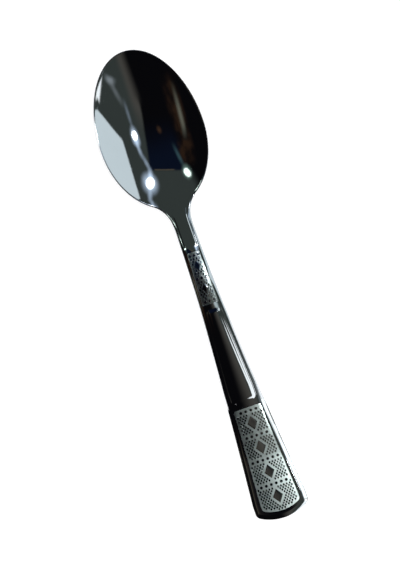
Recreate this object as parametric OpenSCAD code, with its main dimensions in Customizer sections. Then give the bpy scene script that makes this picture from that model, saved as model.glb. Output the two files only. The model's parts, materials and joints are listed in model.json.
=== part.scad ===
// Teaspoon pressed from one blank of stainless steel, lying bowl up on a table.
// X runs across the spoon, Y along it with the bowl's tip at the +Y end, and Z up.
// The origin is on the table under the middle of the spoon.
// Every place along the spoon is measured from the bowl's tip, and is called at.
// The blank is one skin of sections: the zones share the section at which they meet.

/* [Overall] */
// Height of the arch under the handle, above the table
arch_h = 14.6; // [12:0.1:16]
// Length of the handle's flat underside, which rests on the table
rest_len = 15; // [9:0.5:20]

/* [Bowl] */
// Width of the bowl
bowl_w = 30.7; // [27:0.1:34]
// Length from the tip to the widest place
tip_len = 25.5; // [22:0.5:28]
// Half length of the ellipse behind the widest place
rear_len = 21.25; // [18:0.25:24]
// Depth of the bowl below its rim
bowl_depth = 6.5; // [5:0.1:8]
// Rise of the rim from the widest place to the shoulders
rim_rise = 0.8; // [0:0.1:2]
// Thickness of the sheet in the bowl
bowl_t = 1; // [0.7:0.1:1.5]

/* [Neck] */
// Width of the neck
neck_w = 5.9; // [5:0.1:7]
// Thickness of the neck
neck_t = 2.2; // [1.8:0.1:3]
// Length of the straight neck, from the shoulder fillets to the end of its tongue
neck_len = 7.3; // [6:0.1:10]
// Angle at which the neck climbs where its tongue ends
neck_deg = 19.8; // [17:0.1:23]
// Fall of the neck's crowned top from the middle to the sides
neck_crown_h = 0.8; // [0.5:0.05:1]
// Depth of the shallow channel along the tongue
tongue_d = 0.3; // [0.1:0.05:0.4]
// Length over which the channel runs out
tongue_out = 1.6; // [1:0.1:3]
// Distance of the two grooves from the sides, in the neck and along the handle
groove_in = 1.15; // [0.9:0.05:1.4]
// Width of a groove
groove_w = 0.44; // [0.3:0.02:0.6]
// Depth of a groove
groove_d = 0.25; // [0.1:0.01:0.4]

/* [Handle] */
// Width of the handle near its end
end_w = 15.6; // [13:0.1:18]
// Thickness of the handle at its end
end_t = 1.6; // [1.2:0.1:2.2]
// Length of the tail whose sides run parallel
tail_len = 5.7; // [4.5:0.1:8]
// Radius of the rounded end
end_arc_r = 14; // [11:0.1:20]
// Radius of the two corners of the end
end_corner_r = 1.9; // [1.2:0.1:2.6]
// Fall of the crowned top from the middle to the sides, at the end
crown_h = 0.4; // [0.2:0.05:0.8]
// Fall of the rims outside the grooves, out to the sides
rim_fall = 0.3; // [0.1:0.05:0.4]
// Width of the bevel along every edge, in plan
edge_w = 0.6; // [0.4:0.05:0.65]

/* [Panels] */
// Length of the upper etched panel
upper_len = 15.4; // [12:0.1:17]
// Length of the raised plain panel
plain_len = 27.9; // [20:0.1:40]
// Length of the end etched panel
end_len = 30.9; // [26:0.1:34]
// Width of the rim beyond the end panel
end_rim = 2.2; // [1.8:0.1:3]
// Corner radius of the end panel
end_panel_r = 1.2; // [0.6:0.1:1.8]
// Corner radius of the plain panel
plain_r = 1.2; // [0.6:0.1:1.5]
// Length of the band between the neck's tongue and the upper panel
neck_band = 1.3; // [1:0.1:2]
// Length of the band between the upper and the plain panel
upper_band = 1.5; // [1:0.1:2.5]
// Length of the band between the plain and the end panel
end_band = 1.8; // [1:0.1:3]
// Depth of the recesses that the panels fill
recess_d = 0.5; // [0.35:0.05:0.7]
// Height of the plain panel above the rims
plain_h = 0.5; // [0.2:0.05:0.7]
// Width of the plain panel's sloping shoulders
plain_shoulder = 0.9; // [0.6:0.05:1.5]
// Depth to which the fields are etched
etch_d = 0.12; // [0.05:0.01:0.2]

/* [Pattern] */
// Width of a diamond on the end panel
end_diamond_w = 3; // [2:0.1:3.6]
// Length of a diamond on the end panel
end_diamond_l = 4.2; // [3:0.1:4.8]
// Width of a diamond on the upper panel
upper_diamond_w = 2; // [1.4:0.1:2.6]
// Length of a diamond on the upper panel
upper_diamond_l = 3.4; // [2.6:0.1:3.8]
// Diameter of a dot
dot_dia = 0.85; // [0.6:0.05:1]
// Distance between dots on the end panel
end_dot_gap = 1.5; // [1.3:0.05:1.8]
// Distance between dots on the upper panel
upper_dot_gap = 1.25; // [1.15:0.05:1.4]
// Least metal between a dot's row and the panel's sides
dot_margin = 0.6; // [0.4:0.05:0.8]

/* [Hidden] */

STEEL = [0.62, 0.64, 0.66];
PANEL_STEEL = [0.5, 0.52, 0.54];
ETCHED = [0.8, 0.83, 0.82];
ISLAND = [0.3, 0.32, 0.34];

// Half widths
bowl_hw = bowl_w / 2;
neck_hw = neck_w / 2;
end_hw = end_w / 2;

// The rear ellipse is left at this angle, and a fillet tangent to it runs into the neck
leave_deg = 64;
leave_hw = bowl_hw * cos(leave_deg);
leave_at = tip_len + rear_len * sin(leave_deg);
turn_deg = atan2(bowl_hw * sin(leave_deg), rear_len * cos(leave_deg));
fillet_r = (leave_hw - neck_hw) / (1 - cos(turn_deg));
fillet_at = leave_at + fillet_r * sin(turn_deg);

// The chain of lengths down the handle, which gives the length of the spoon
tongue_at = fillet_at + neck_len;
upper_at = tongue_at + neck_band;
upper_end_at = upper_at + upper_len;
plain_at = upper_end_at + upper_band;
plain_end_at = plain_at + plain_len;
end_panel_at = plain_end_at + end_band;
end_panel_end_at = end_panel_at + end_len;
spoon_len = end_panel_end_at + end_rim;
tail_at = spoon_len - tail_len;
arc_at = spoon_len - end_arc_r;

// Cuts between the zones of the blank, each in the middle of a band
neck_cut = tongue_at + neck_band / 2;
upper_cut = upper_end_at + upper_band / 2;
end_cut = plain_end_at + end_band / 2;

// The handle widens slowly at first, as this power of the way to the tail
flare_power = 1.42;
// The bowl's floor climbs to its rim as this power of the way out
dish_power = 2.2;
// The arch's highest place, as a share of the way from the tongue's end to the flat underside
arch_share = 0.14;
rest_at = spoon_len - rest_len;
arch_at = tongue_at + arch_share * (rest_at - tongue_at);
// Towards the neck the arch falls as this power of the way back from its highest place
arch_power = 1.8;
neck_reach = arch_at - tongue_at;
arch_drop = tan(neck_deg) * neck_reach / arch_power;
// The bowl's form gives way to the handle's between these places: from a share of the way
// to the fillet, to a share of the neck past it
blend_from_share = 0.89;
blend_to_share = 0.18;
blend_from = tip_len + blend_from_share * (leave_at - tip_len);
blend_to = fillet_at + blend_to_share * neck_len;

// In the shoulders, and where the end closes, the grooves' places are shares of the half width
groove_share = 1 - groove_in / neck_hw;
groove_half_share = groove_w / 2 / neck_hw;
// The rims' fall has run out at this share of the end panel
rim_out_share = 0.5;
rim_out_at = end_panel_at + rim_out_share * end_len;
// Half width of the end panel, as a share of the handle's
end_panel_share = 0.72;

// Sections: points of the bevelled edge, as shares of its width in from the rim and down from
// the face, and columns between the grooves as shares of the way
EDGE_SHARES = [[0, 1.2], [0.06, 0.36], [0.6, 0.1]];
TONGUE_SHARES = [0.2, 0.4, 0.6, 0.8, 1];
rim_share = 0.45;
// Columns across a plate, as shares of its inner half width and of its shoulder
RAISED_SHARES = [
    [-1, -1], [-1, -0.5], [-1, 0], [-0.5, 0], [0, 0], [0.5, 0], [1, 0], [1, 0.5], [1, 1],
];
LEVEL_SHARES = [[-1, -1], [-0.5, -0.5], [0, 0], [0.5, 0.5], [1, 1]];
nose_deg = 1.2;
front_n = 13;
rear_n = 9;
fillet_n = 6;
neck_n = 9;
upper_n = 7;
stem_n = 9;
tail_n = 9;
corner_n = 4;
arc_n = 4;
side_n = 7;
dot_facets = 20;

// Rows of the pattern: one dot row and one diamond in each repeat, at these shares of it
end_repeats = 4;
upper_repeats = 2;
upper_dots_n = 3;
dots_share = 0.14;
end_diamonds_share = 0.63;
upper_diamonds_share = 0.6;
// Share of each panel that its repeats take up
end_repeats_share = 0.95;
upper_repeats_share = 0.88;
end_pitch = end_repeats_share * end_len / end_repeats;
upper_pitch = upper_repeats_share * upper_len / upper_repeats;
// Corner radius where a panel's corner looks square
square_r = 0.35;
// Height of the prisms that cut the pattern, and how far the recess cutters run past the top
prism_h = arch_h + neck_t + bowl_depth;
cut_over = 0.8;

// Smooth step from 0 to 1
function ease(t) = let (c = max(0, min(1, t))) c * c * (3 - 2 * c);

function mix(a, b, t) = a + (b - a) * t;

// Half width of the neck and the handle's sides
function side_hw(at) =
    let (u = max(0, min(1, (at - tongue_at) / (tail_at - tongue_at))))
    mix(neck_hw, end_hw, pow(u, flare_power));

// Half width of the plan outline behind the bowl's widest place, without the rounded end
function plan_hw(at) =
    at < leave_at ? bowl_hw * sqrt(max(0, 1 - pow((at - tip_len) / rear_len, 2)))
    : at < fillet_at ? neck_hw + fillet_r - sqrt(pow(fillet_r, 2) - pow(fillet_at - at, 2))
    : side_hw(at);

// Way out from the bowl's deepest point: 0 there and 1 on the outline's two half ellipses
function bowl_way(x, at) =
    norm([x / bowl_hw, (at - tip_len) / (at < tip_len ? tip_len : rear_len)]);

function rim_z(at) =
    bowl_depth + bowl_t + rim_rise * pow(max(0, at - tip_len) / rear_len, 2);

function bowl_top(x, at) =
    rim_z(at) - bowl_depth * (1 - pow(bowl_way(x, at), dish_power));

// The underside keeps the sheet's thickness square to the slope
function bowl_under(x, at) =
    let (slope = bowl_depth * dish_power * pow(bowl_way(x, at), dish_power - 1) / bowl_hw)
    bowl_top(x, at) - bowl_t * sqrt(1 + pow(slope, 2));

function handle_under(at) =
    at < arch_at ? arch_h - arch_drop * pow((arch_at - at) / neck_reach, arch_power)
    : arch_h * (1 - ease((at - arch_at) / (rest_at - arch_at)));

function handle_t(at) = mix(neck_t, end_t, ease((at - tongue_at) / (rest_at - tongue_at)));

// Half width of the tongue, out to the grooves' inner lips
function tongue_hw(at) =
    at < fillet_at ? (groove_share - groove_half_share) * plan_hw(at)
    : side_hw(at) - groove_in - groove_w / 2;

function crown(at) = mix(neck_crown_h, crown_h, ease((at - tongue_at) / (tail_at - tongue_at)));

// The rims fall in full beside the plain panel, and less and less on either side of it
function rim_drop(x, at) =
    rim_fall * max(0, 1 - (side_hw(at) - abs(x)) / groove_in)
    * ease((at - tongue_at) / (plain_at - tongue_at))
    * ease((rim_out_at - at) / (rim_out_at - plain_end_at));

function handle_top(x, at) =
    handle_under(at) + handle_t(at) - rim_drop(x, at)
    - crown(at) * pow(min(1, abs(x) / plan_hw(at)), 2)
    - tongue_d * ease((tongue_at - at) / tongue_out) * (1 - pow(min(1, abs(x) / tongue_hw(at)), 2));

function blend_w(at) = ease((at - blend_from) / (blend_to - blend_from));

function top_z(x, at) =
    at <= blend_from ? bowl_top(x, at)
    : at >= blend_to ? handle_top(x, at)
    : mix(bowl_top(x, at), handle_top(x, at), blend_w(at));

function under_z(x, at) =
    at <= blend_from ? bowl_under(x, at)
    : at >= blend_to ? handle_under(at)
    : mix(bowl_under(x, at), handle_under(at), blend_w(at));

// Rounded end of an outline: two corners, tangent to the sides and to the end's arc
function round_end(hw, arc_r, corner_r) =
    let (
        reach = arc_r - corner_r,
        side = hw - corner_r,
        arc_deg = asin(side / reach),
        centre_at = arc_at + sqrt(pow(reach, 2) - pow(side, 2))
    )
    concat(
        [for (k = [0:corner_n]) let (a = (90 - arc_deg) * k / corner_n)
            [side + corner_r * cos(a), centre_at + corner_r * sin(a)]],
        [for (k = [1:arc_n]) let (a = mix(arc_deg, nose_deg, k / arc_n))
            [arc_r * sin(a), arc_at + arc_r * cos(a)]]);

// Right half of the plan outline from the tip to the end, as [half width, at]
HANDLE_END = round_end(end_hw, end_arc_r, end_corner_r);
function sides(from, to, n) =
    [for (k = [1:n]) let (at = mix(from, to, k / n)) [side_hw(at), at]];
OUTLINE = concat(
    [for (k = [0:front_n - 1]) let (a = mix(nose_deg, 90, k / front_n))
        [bowl_hw * sin(a), tip_len * (1 - cos(a))]],
    [for (k = [0:rear_n]) let (a = leave_deg * k / rear_n)
        [bowl_hw * cos(a), tip_len + rear_len * sin(a)]],
    [for (k = [1:fillet_n]) let (a = turn_deg * (1 - k / fillet_n))
        [neck_hw + fillet_r * (1 - cos(a)), fillet_at - fillet_r * sin(a)]],
    sides(fillet_at, neck_cut, neck_n),
    sides(neck_cut, upper_cut, upper_n),
    sides(upper_cut, end_cut, stem_n),
    sides(end_cut, HANDLE_END[0].y, tail_n - 1),
    [for (k = [1:len(HANDLE_END) - 1]) HANDLE_END[k]]);

// Stations at which the zones meet
bowl_last = front_n + rear_n + fillet_n;
neck_last = bowl_last + neck_n;
upper_last = neck_last + upper_n;
stem_last = upper_last + stem_n;
end_last = len(OUTLINE) - 1;

// Outward direction of the outline in plan, from the points on either side
function beside(i) =
    i < 0 ? [-OUTLINE[0].x, OUTLINE[0].y]
    : i > end_last ? [-OUTLINE[end_last].x, OUTLINE[end_last].y]
    : OUTLINE[i];
function outward(i) =
    let (t = beside(i + 1) - beside(i - 1))
    [t.y, -t.x] / norm(t);

// Point on the bevelled edge at shares of its width in and down, on one side, up or down
function edge_point(i, share, side, up) =
    let (
        p = OUTLINE[i] - outward(i) * edge_w * share[0],
        half = (top_z(p.x, p.y) - under_z(p.x, p.y)) / 2,
        middle = under_z(p.x, p.y) + half
    )
    [side * p.x, spoon_len / 2 - p.y, middle + up * max(0, half - edge_w * share[1])];

// The grooves run in from the shoulders along the tongue, and again beside the plain panel
function groove_z(at) =
    groove_d * max(
        min(ease((at - leave_at) / (fillet_at - leave_at)), ease((tongue_at - at) / groove_w)),
        min(ease((at - plain_at) / groove_w), ease((plain_end_at - at) / groove_w)));

// Columns of the right half of a section, from beside the middle to the edge's rounding
function half_columns(i, inner) =
    let (
        hw = OUTLINE[i].x,
        by_share = OUTLINE[i].y < fillet_at || hw < neck_hw,
        groove = by_share ? groove_share * hw : hw - groove_in,
        half = by_share ? groove_half_share * hw : groove_w / 2
    )
    concat(
        [for (u = TONGUE_SHARES) u * (groove - half)],
        [groove, groove + half, mix(groove + half, inner, rim_share), inner]);

function columns(i, inner) =
    let (half = half_columns(i, inner))
    concat([for (k = [len(half) - 1:-1:0]) -half[k]], [0], half);

// One section of the blank, over the top from left to right and back underneath
edge_last = len(EDGE_SHARES) - 1;
last_column = 2 * len(half_columns(0, 0));
top_n = 2 * len(EDGE_SHARES) + last_column + 1;
groove_column = len(TONGUE_SHARES) + 1;
function section(i) =
    let (
        p = OUTLINE[i] - outward(i) * edge_w,
        y = spoon_len / 2 - p.y,
        xs = columns(i, p.x),
        middle = last_column / 2
    )
    concat(
        [for (share = EDGE_SHARES) edge_point(i, share, -1, 1)],
        [for (k = [0:last_column])
            let (sunk = abs(k - middle) == groove_column ? groove_z(p.y) : 0)
            [xs[k], y, top_z(xs[k], p.y) - sunk]],
        [for (k = [edge_last:-1:0]) edge_point(i, EDGE_SHARES[k], 1, 1)],
        [for (k = [1:edge_last]) edge_point(i, EDGE_SHARES[k], 1, -1)],
        [for (k = [last_column:-1:0]) [xs[k], y, under_z(xs[k], p.y)]],
        [for (k = [edge_last:-1:1]) edge_point(i, EDGE_SHARES[k], -1, -1)]);

function flip(face, turned) = turned ? [face[2], face[1], face[0]] : face;

// Skin between neighbouring sections of m points each
function skin(n, m) =
    [for (i = [0:n - 2], j = [0:m - 1], half = [0, 1])
        let (a = i * m + j, b = i * m + (j + 1) % m)
        half == 0 ? [a, b, b + m] : [a, b + m, a + m]];

// Flat face of a cut, between the top row of the section and its underside
function cut_face(first, n, m, turned) =
    let (off = m == 2 * n ? 1 : 0)
    [for (j = [0:n - 2], half = [0, 1])
        let (
            a = first + j,
            b = first + j + 1,
            c = first + (2 * m - j - 1 - off) % m,
            d = first + (2 * m - j - off) % m
        )
        if (half == 0 ? c != b : a != d)
            half == 0 ? flip([a, b, c], turned) : flip([a, c, d], turned)];

// Closed nose, between the left and the right half of the section
function nose_side(first, order, turned) =
    let (e = len(EDGE_SHARES), n = len(order))
    concat(
        [for (k = [0:e - 2], half = [0, 1])
            let (
                a = first + order[k],
                b = first + order[k + 1],
                c = first + order[n - 2 - k],
                d = first + order[n - 1 - k]
            )
            half == 0 ? flip([a, b, c], turned) : flip([a, c, d], turned)],
        [for (k = [e:n - e - 1])
            flip([first + order[e - 1], first + order[k], first + order[k + 1]], turned)]);

function nose_face(first, n, m, turned) =
    concat(
        nose_side(first, [for (k = [0:n - 1]) k], turned),
        nose_side(first, [for (k = [0:n - 1]) (m - k) % m], !turned));

// Zone of the blank between two stations, both at a cut or at a closed nose
module blank(from, to) {
    sections = [for (i = [from:to]) section(i)];
    m = len(sections[0]);
    first = (to - from) * m;
    near = from == 0 ? nose_face(0, top_n, m, true) : cut_face(0, top_n, m, true);
    far = to == end_last ? nose_face(first, top_n, m, false) : cut_face(first, top_n, m, false);
    polyhedron([for (s = sections, p = s) p], concat(skin(len(sections), m), near, far));
}

// Half width of each panel: the grooves' middle, the grooves' inner lip, or a share
function upper_hw(at) = side_hw(at) - groove_in;
function plain_hw(at) = tongue_hw(at);
function end_panel_hw(at) = end_panel_share * side_hw(at);

// Half outline of a panel, from its upper corner down its side, as [half width, at]
function upper_corner(hw, at, r) =
    [for (k = [0:corner_n]) let (a = 90 * k / corner_n)
        [hw - r * (1 - sin(a)), at + r * (1 - cos(a))]];
function lower_corner(hw, at, r) =
    [for (k = [0:corner_n]) let (a = 90 * k / corner_n)
        [hw - r * (1 - cos(a)), at - r * (1 - sin(a))]];
function stops(from, to) = [for (k = [1:side_n - 1]) mix(from, to, k / side_n)];

UPPER_PANEL = concat(
    upper_corner(upper_hw(upper_at + square_r), upper_at, square_r),
    [for (at = stops(upper_at + square_r, upper_end_at - square_r)) [upper_hw(at), at]],
    lower_corner(upper_hw(upper_end_at - square_r), upper_end_at, square_r));
PLAIN_PANEL = concat(
    upper_corner(plain_hw(plain_at + plain_r), plain_at, plain_r),
    [for (at = stops(plain_at + plain_r, plain_end_at - plain_r)) [plain_hw(at), at]],
    lower_corner(plain_hw(plain_end_at - plain_r), plain_end_at, plain_r));
END_ROUND = round_end(end_panel_hw(tail_at), end_arc_r - end_rim, end_panel_r);
END_PANEL = concat(
    upper_corner(end_panel_hw(end_panel_at + square_r), end_panel_at, square_r),
    [for (at = stops(end_panel_at + square_r, END_ROUND[0].y)) [end_panel_hw(at), at]],
    END_ROUND);

// Plate let into the handle's top, from depth low up to rim at its edge and high inside it
module plate(half, low, rim, high) {
    shares = high > rim ? RAISED_SHARES : LEVEL_SHARES;
    n = len(shares);
    last = len(half) - 1;
    rows = [for (p = half)
        let (
            shoulder = min(plain_shoulder, p.x / 2),
            y = spoon_len / 2 - p.y,
            xs = [for (s = shares) s[0] * (p.x - shoulder) + s[1] * shoulder],
            ends = min(p.y - half[0].y, half[last].y - p.y)
        )
        concat(
            [for (x = xs)
                let (inside = min(1, min(p.x - abs(x), ends) / plain_shoulder))
                [x, y, top_z(x, p.y) + mix(rim, high, inside)]],
            [for (k = [n - 1:-1:0]) [xs[k], y, top_z(xs[k], p.y) - low]])];
    polyhedron(
        [for (row = rows, p = row) p],
        concat(
            skin(len(rows), 2 * n),
            cut_face(0, n, 2 * n, true),
            cut_face(last * 2 * n, n, 2 * n, false)));
}

// Upright prisms through a panel, one at each repeat of its pattern
module diamonds(from, pitch, repeats, w, l) {
    for (k = [0:repeats - 1])
        translate([0, spoon_len / 2 - from - k * pitch, 0])
            linear_extrude(prism_h)
                polygon([[0, l / 2], [w / 2, 0], [0, -l / 2], [-w / 2, 0]]);
}

module dot_row(at, n, gap) {
    for (k = [0:n - 1])
        translate([(k - (n - 1) / 2) * gap, spoon_len / 2 - at, 0])
            cylinder(h = prism_h, d = dot_dia, $fn = dot_facets);
}

module end_diamond_prisms()
    diamonds(end_panel_at + end_diamonds_share * end_pitch, end_pitch, end_repeats,
        end_diamond_w, end_diamond_l);

module upper_diamond_prisms()
    diamonds(upper_at + upper_diamonds_share * upper_pitch, upper_pitch, upper_repeats,
        upper_diamond_w, upper_diamond_l);

module end_dot_prisms() {
    for (k = [0:end_repeats - 1]) {
        at = end_panel_at + (k + dots_share) * end_pitch;
        room = 2 * (end_panel_hw(at) - dot_margin);
        dot_row(at, floor((room - dot_dia) / end_dot_gap) + 1, end_dot_gap);
    }
}

module upper_dot_prisms() {
    for (k = [0:upper_repeats])
        dot_row(upper_at + (k + dots_share) * upper_pitch, upper_dots_n, upper_dot_gap);
}

module bowl() {
    color(STEEL) blank(0, bowl_last);
}

module neck() {
    color(STEEL) blank(bowl_last, neck_last);
}

module upper_stem() {
    color(STEEL) difference() {
        blank(neck_last, upper_last);
        plate(UPPER_PANEL, recess_d, cut_over, cut_over);
    }
}

module stem() {
    color(STEEL) difference() {
        blank(upper_last, stem_last);
        plate(PLAIN_PANEL, recess_d, cut_over, cut_over);
    }
}

module handle_end() {
    color(STEEL) difference() {
        blank(stem_last, end_last);
        plate(END_PANEL, recess_d, cut_over, cut_over);
    }
}

module upper_etched_field() {
    color(ETCHED) difference() {
        plate(UPPER_PANEL, recess_d, -etch_d, -etch_d);
        upper_diamond_prisms();
        upper_dot_prisms();
    }
}

module plain_panel() {
    color(PANEL_STEEL) plate(PLAIN_PANEL, recess_d, 0, plain_h);
}

module end_etched_field() {
    color(ETCHED) difference() {
        plate(END_PANEL, recess_d, -etch_d, -etch_d);
        end_diamond_prisms();
        end_dot_prisms();
    }
}

module upper_diamonds() {
    color(ISLAND) intersection() {
        plate(UPPER_PANEL, recess_d, 0, 0);
        upper_diamond_prisms();
    }
}

module upper_dots() {
    color(ISLAND) intersection() {
        plate(UPPER_PANEL, recess_d, 0, 0);
        upper_dot_prisms();
    }
}

module end_diamonds() {
    color(ISLAND) intersection() {
        plate(END_PANEL, recess_d, 0, 0);
        end_diamond_prisms();
    }
}

module end_dots() {
    color(ISLAND) intersection() {
        plate(END_PANEL, recess_d, 0, 0);
        end_dot_prisms();
    }
}

bowl();
neck();
upper_stem();
stem();
handle_end();
upper_etched_field();
plain_panel();
end_etched_field();
upper_diamonds();
upper_dots();
end_diamonds();
end_dots();
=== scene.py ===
"""Looks of a stainless steel teaspoon that lies bowl up: polished blank, plain and etched panels.

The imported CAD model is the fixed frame. Sizes are in millimetres in the classes and in metres in
the meshes. X runs across the spoon, Y along it with the tip at the +Y end, and Z up. A place along
the spoon is its distance from the bowl's tip, and is called at.
"""

import json
import logging
import math
from dataclasses import dataclass
from enum import Enum
from functools import cached_property, partial, reduce

import bmesh
import bpy
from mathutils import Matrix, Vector

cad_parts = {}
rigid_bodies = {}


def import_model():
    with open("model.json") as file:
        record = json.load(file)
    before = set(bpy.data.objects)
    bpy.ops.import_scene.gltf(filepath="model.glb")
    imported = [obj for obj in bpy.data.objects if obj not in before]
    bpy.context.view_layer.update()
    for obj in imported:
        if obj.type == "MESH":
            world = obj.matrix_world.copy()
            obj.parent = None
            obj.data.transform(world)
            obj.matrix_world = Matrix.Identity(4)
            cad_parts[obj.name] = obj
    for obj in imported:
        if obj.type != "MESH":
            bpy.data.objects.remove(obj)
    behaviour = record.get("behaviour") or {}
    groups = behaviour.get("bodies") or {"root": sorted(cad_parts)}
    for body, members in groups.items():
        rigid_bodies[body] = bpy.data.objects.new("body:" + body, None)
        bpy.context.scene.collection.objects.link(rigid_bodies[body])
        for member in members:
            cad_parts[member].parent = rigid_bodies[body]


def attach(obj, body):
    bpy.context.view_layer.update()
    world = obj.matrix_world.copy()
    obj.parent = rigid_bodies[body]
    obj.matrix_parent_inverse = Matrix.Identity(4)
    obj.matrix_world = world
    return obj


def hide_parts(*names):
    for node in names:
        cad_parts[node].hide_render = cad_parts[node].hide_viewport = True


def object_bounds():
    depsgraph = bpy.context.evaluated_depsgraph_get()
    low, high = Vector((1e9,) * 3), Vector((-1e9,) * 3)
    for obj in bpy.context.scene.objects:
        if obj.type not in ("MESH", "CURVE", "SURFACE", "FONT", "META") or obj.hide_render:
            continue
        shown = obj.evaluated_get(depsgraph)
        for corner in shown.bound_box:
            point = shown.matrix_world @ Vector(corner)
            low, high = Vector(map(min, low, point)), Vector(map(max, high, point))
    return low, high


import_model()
CAD_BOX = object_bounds()

MM = 0.001  # metres in a millimetre
TINY = 1e-7  # welds doubles, and keeps a way from the zenith above 0
CREASE_DEG = 30.0  # faces that meet at more than this have a sharp edge
RADIAN_DEG = 57.2958  # degrees in a radian

log = logging.getLogger("teaspoon")

Row = tuple[float, float]
Point = tuple[float, float, float]
Socket = bpy.types.NodeSocket


def held(t: float) -> float:
    """Returns t held between 0 and 1."""
    return max(0.0, min(1.0, t))


def ease(t: float) -> float:
    """Returns a smooth step from 0 to 1 for t from 0 to 1."""
    c = held(t)
    return c * c * (3 - 2 * c)


def mix(a: float, b: float, t: float) -> float:
    """Returns the value a share t of the way from a to b."""
    return a + (b - a) * t


def ramp(at: float, start: float, end: float) -> float:
    """Returns a smooth step from 0 at start to 1 at end, which may lie on either side of it."""
    return ease((at - start) / (end - start))


def turned(radius: float, degrees: float) -> tuple[float, float]:
    """Returns the cosine and sine parts of a radius turned by an angle in degrees."""
    a = math.radians(degrees)
    return radius * math.cos(a), radius * math.sin(a)


@dataclass(frozen=True)
class Blank:
    """Form of the pressed blank: its plan outline and the heights of its two faces.

    Attributes:
        arch_h: Height of the arch under the handle.
        rest_len: Length of the flat underside at the handle's end.
        bowl_w: Width of the bowl.
        tip_len: Length from the tip to the widest place.
        rear_len: Half length of the ellipse behind the widest place.
        bowl_depth: Depth of the bowl below its rim.
        rim_rise: Rise of the rim towards the shoulders.
        bowl_t: Thickness of the sheet in the bowl.
        neck_w: Width of the neck.
        neck_t: Thickness of the neck.
        neck_len: Length of the straight neck.
        groove_in: Distance of the grooves from the sides in the neck.
        stem_groove_in: Distance of the grooves from the sides beside the plain panel.
        groove_start_share: Share of the shoulders in which the grooves reach their depth.
        groove_w: Width of a groove.
        groove_d: Depth of a groove.
        end_w: Width of the handle near its end.
        end_t: Thickness of the handle at its end.
        tail_len: Length of the tail whose sides run parallel.
        end_arc_r: Radius of the rounded end.
        end_corner_r: Radius of the end's two corners.
        crown_h: Fall of the crowned top from the middle to the sides, at the end.
        rim_fall: Fall of the rims outside the grooves.
        rim_out_share: Share of the end panel at which that fall has run out.
        edge_w: Width of the bevel along every edge.
        end_edge_w: Width of the bevel around the handle's end.
        end_edge_len: Length over which the bevel widens.
        upper_len: Length of the upper etched panel.
        plain_len: Length of the raised plain panel.
        end_len: Length of the end etched panel.
        end_rim: Width of the rim beyond the end panel.
        neck_band: Length of the band above the upper panel.
        upper_band: Length of the band above the plain panel.
        end_band: Length of the band above the end panel.
        leave_deg: Angle at which the rear ellipse runs into the shoulder fillet.
        flare_power: Power of the way to the tail by which the handle widens.
        dish_power: Power of the way out by which the bowl's floor climbs.
        arch_share: Place of the arch's top, as a share of the way to the flat underside.
        neck_deg: Angle at which the neck climbs where its tongue ends.
        arch_power: Power of the way back from the arch's top by which the neck falls.
        neck_crown_h: Fall of the neck's crowned top from the middle to the sides.
        tongue_d: Depth of the shallow channel between the neck's grooves.
        tongue_out: Length over which the channel runs out.
        blend_from_share: Where the bowl's form starts to give way, as a share.
        blend_to_share: Where the handle's form takes over, as a share of the neck.
        recess_d: Depth of the recesses for the etched panels.
    """

    arch_h: float = 14.6
    rest_len: float = 15.0
    bowl_w: float = 30.7
    tip_len: float = 25.5
    rear_len: float = 21.25
    bowl_depth: float = 6.5
    rim_rise: float = 0.8
    bowl_t: float = 1.0
    neck_w: float = 5.9
    neck_t: float = 2.2
    neck_len: float = 7.3
    groove_in: float = 1.15
    stem_groove_in: float = 1.38
    groove_start_share: float = 0.4
    groove_w: float = 0.44
    groove_d: float = 0.1
    end_w: float = 15.6
    end_t: float = 1.6
    tail_len: float = 5.7
    end_arc_r: float = 14.0
    end_corner_r: float = 1.9
    crown_h: float = 0.4
    rim_fall: float = 0.3
    rim_out_share: float = 0.5
    edge_w: float = 0.6
    end_edge_w: float = 1.3
    end_edge_len: float = 10.0
    upper_len: float = 15.4
    plain_len: float = 27.9
    end_len: float = 30.9
    end_rim: float = 2.2
    neck_band: float = 1.3
    upper_band: float = 1.5
    end_band: float = 1.8
    leave_deg: float = 64.0
    flare_power: float = 1.42
    dish_power: float = 2.2
    arch_share: float = 0.14
    neck_deg: float = 19.8
    arch_power: float = 1.8
    neck_crown_h: float = 0.8
    tongue_d: float = 0.3
    tongue_out: float = 1.6
    blend_from_share: float = 0.89
    blend_to_share: float = 0.18
    recess_d: float = 0.5

    @cached_property
    def bowl_hw(self) -> float:
        """Half width of the bowl."""
        return self.bowl_w / 2

    @cached_property
    def neck_hw(self) -> float:
        """Half width of the neck."""
        return self.neck_w / 2

    @cached_property
    def end_hw(self) -> float:
        """Half width of the tail."""
        return self.end_w / 2

    @cached_property
    def leave_hw(self) -> float:
        """Half width where the rear ellipse ends."""
        return turned(self.bowl_hw, self.leave_deg)[0]

    @cached_property
    def leave_at(self) -> float:
        """Place where the rear ellipse ends."""
        return self.tip_len + turned(self.rear_len, self.leave_deg)[1]

    @cached_property
    def turn(self) -> float:
        """Angle in radians between the outline and the axis where the rear ellipse ends."""
        return math.atan2(
            turned(self.bowl_hw, self.leave_deg)[1], turned(self.rear_len, self.leave_deg)[0]
        )

    @cached_property
    def fillet_r(self) -> float:
        """Radius of the shoulder fillets."""
        return (self.leave_hw - self.neck_hw) / (1 - math.cos(self.turn))

    @cached_property
    def fillet_at(self) -> float:
        """Place where the shoulders end and the neck starts."""
        return self.leave_at + self.fillet_r * math.sin(self.turn)

    @cached_property
    def tongue_at(self) -> float:
        """Place where the neck's grooves end."""
        return self.fillet_at + self.neck_len

    @cached_property
    def upper_at(self) -> float:
        """Place where the upper etched panel starts."""
        return self.tongue_at + self.neck_band

    @cached_property
    def upper_end_at(self) -> float:
        """Place where the upper etched panel ends."""
        return self.upper_at + self.upper_len

    @cached_property
    def plain_at(self) -> float:
        """Place where the plain panel starts."""
        return self.upper_end_at + self.upper_band

    @cached_property
    def plain_end_at(self) -> float:
        """Place where the plain panel ends."""
        return self.plain_at + self.plain_len

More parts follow.
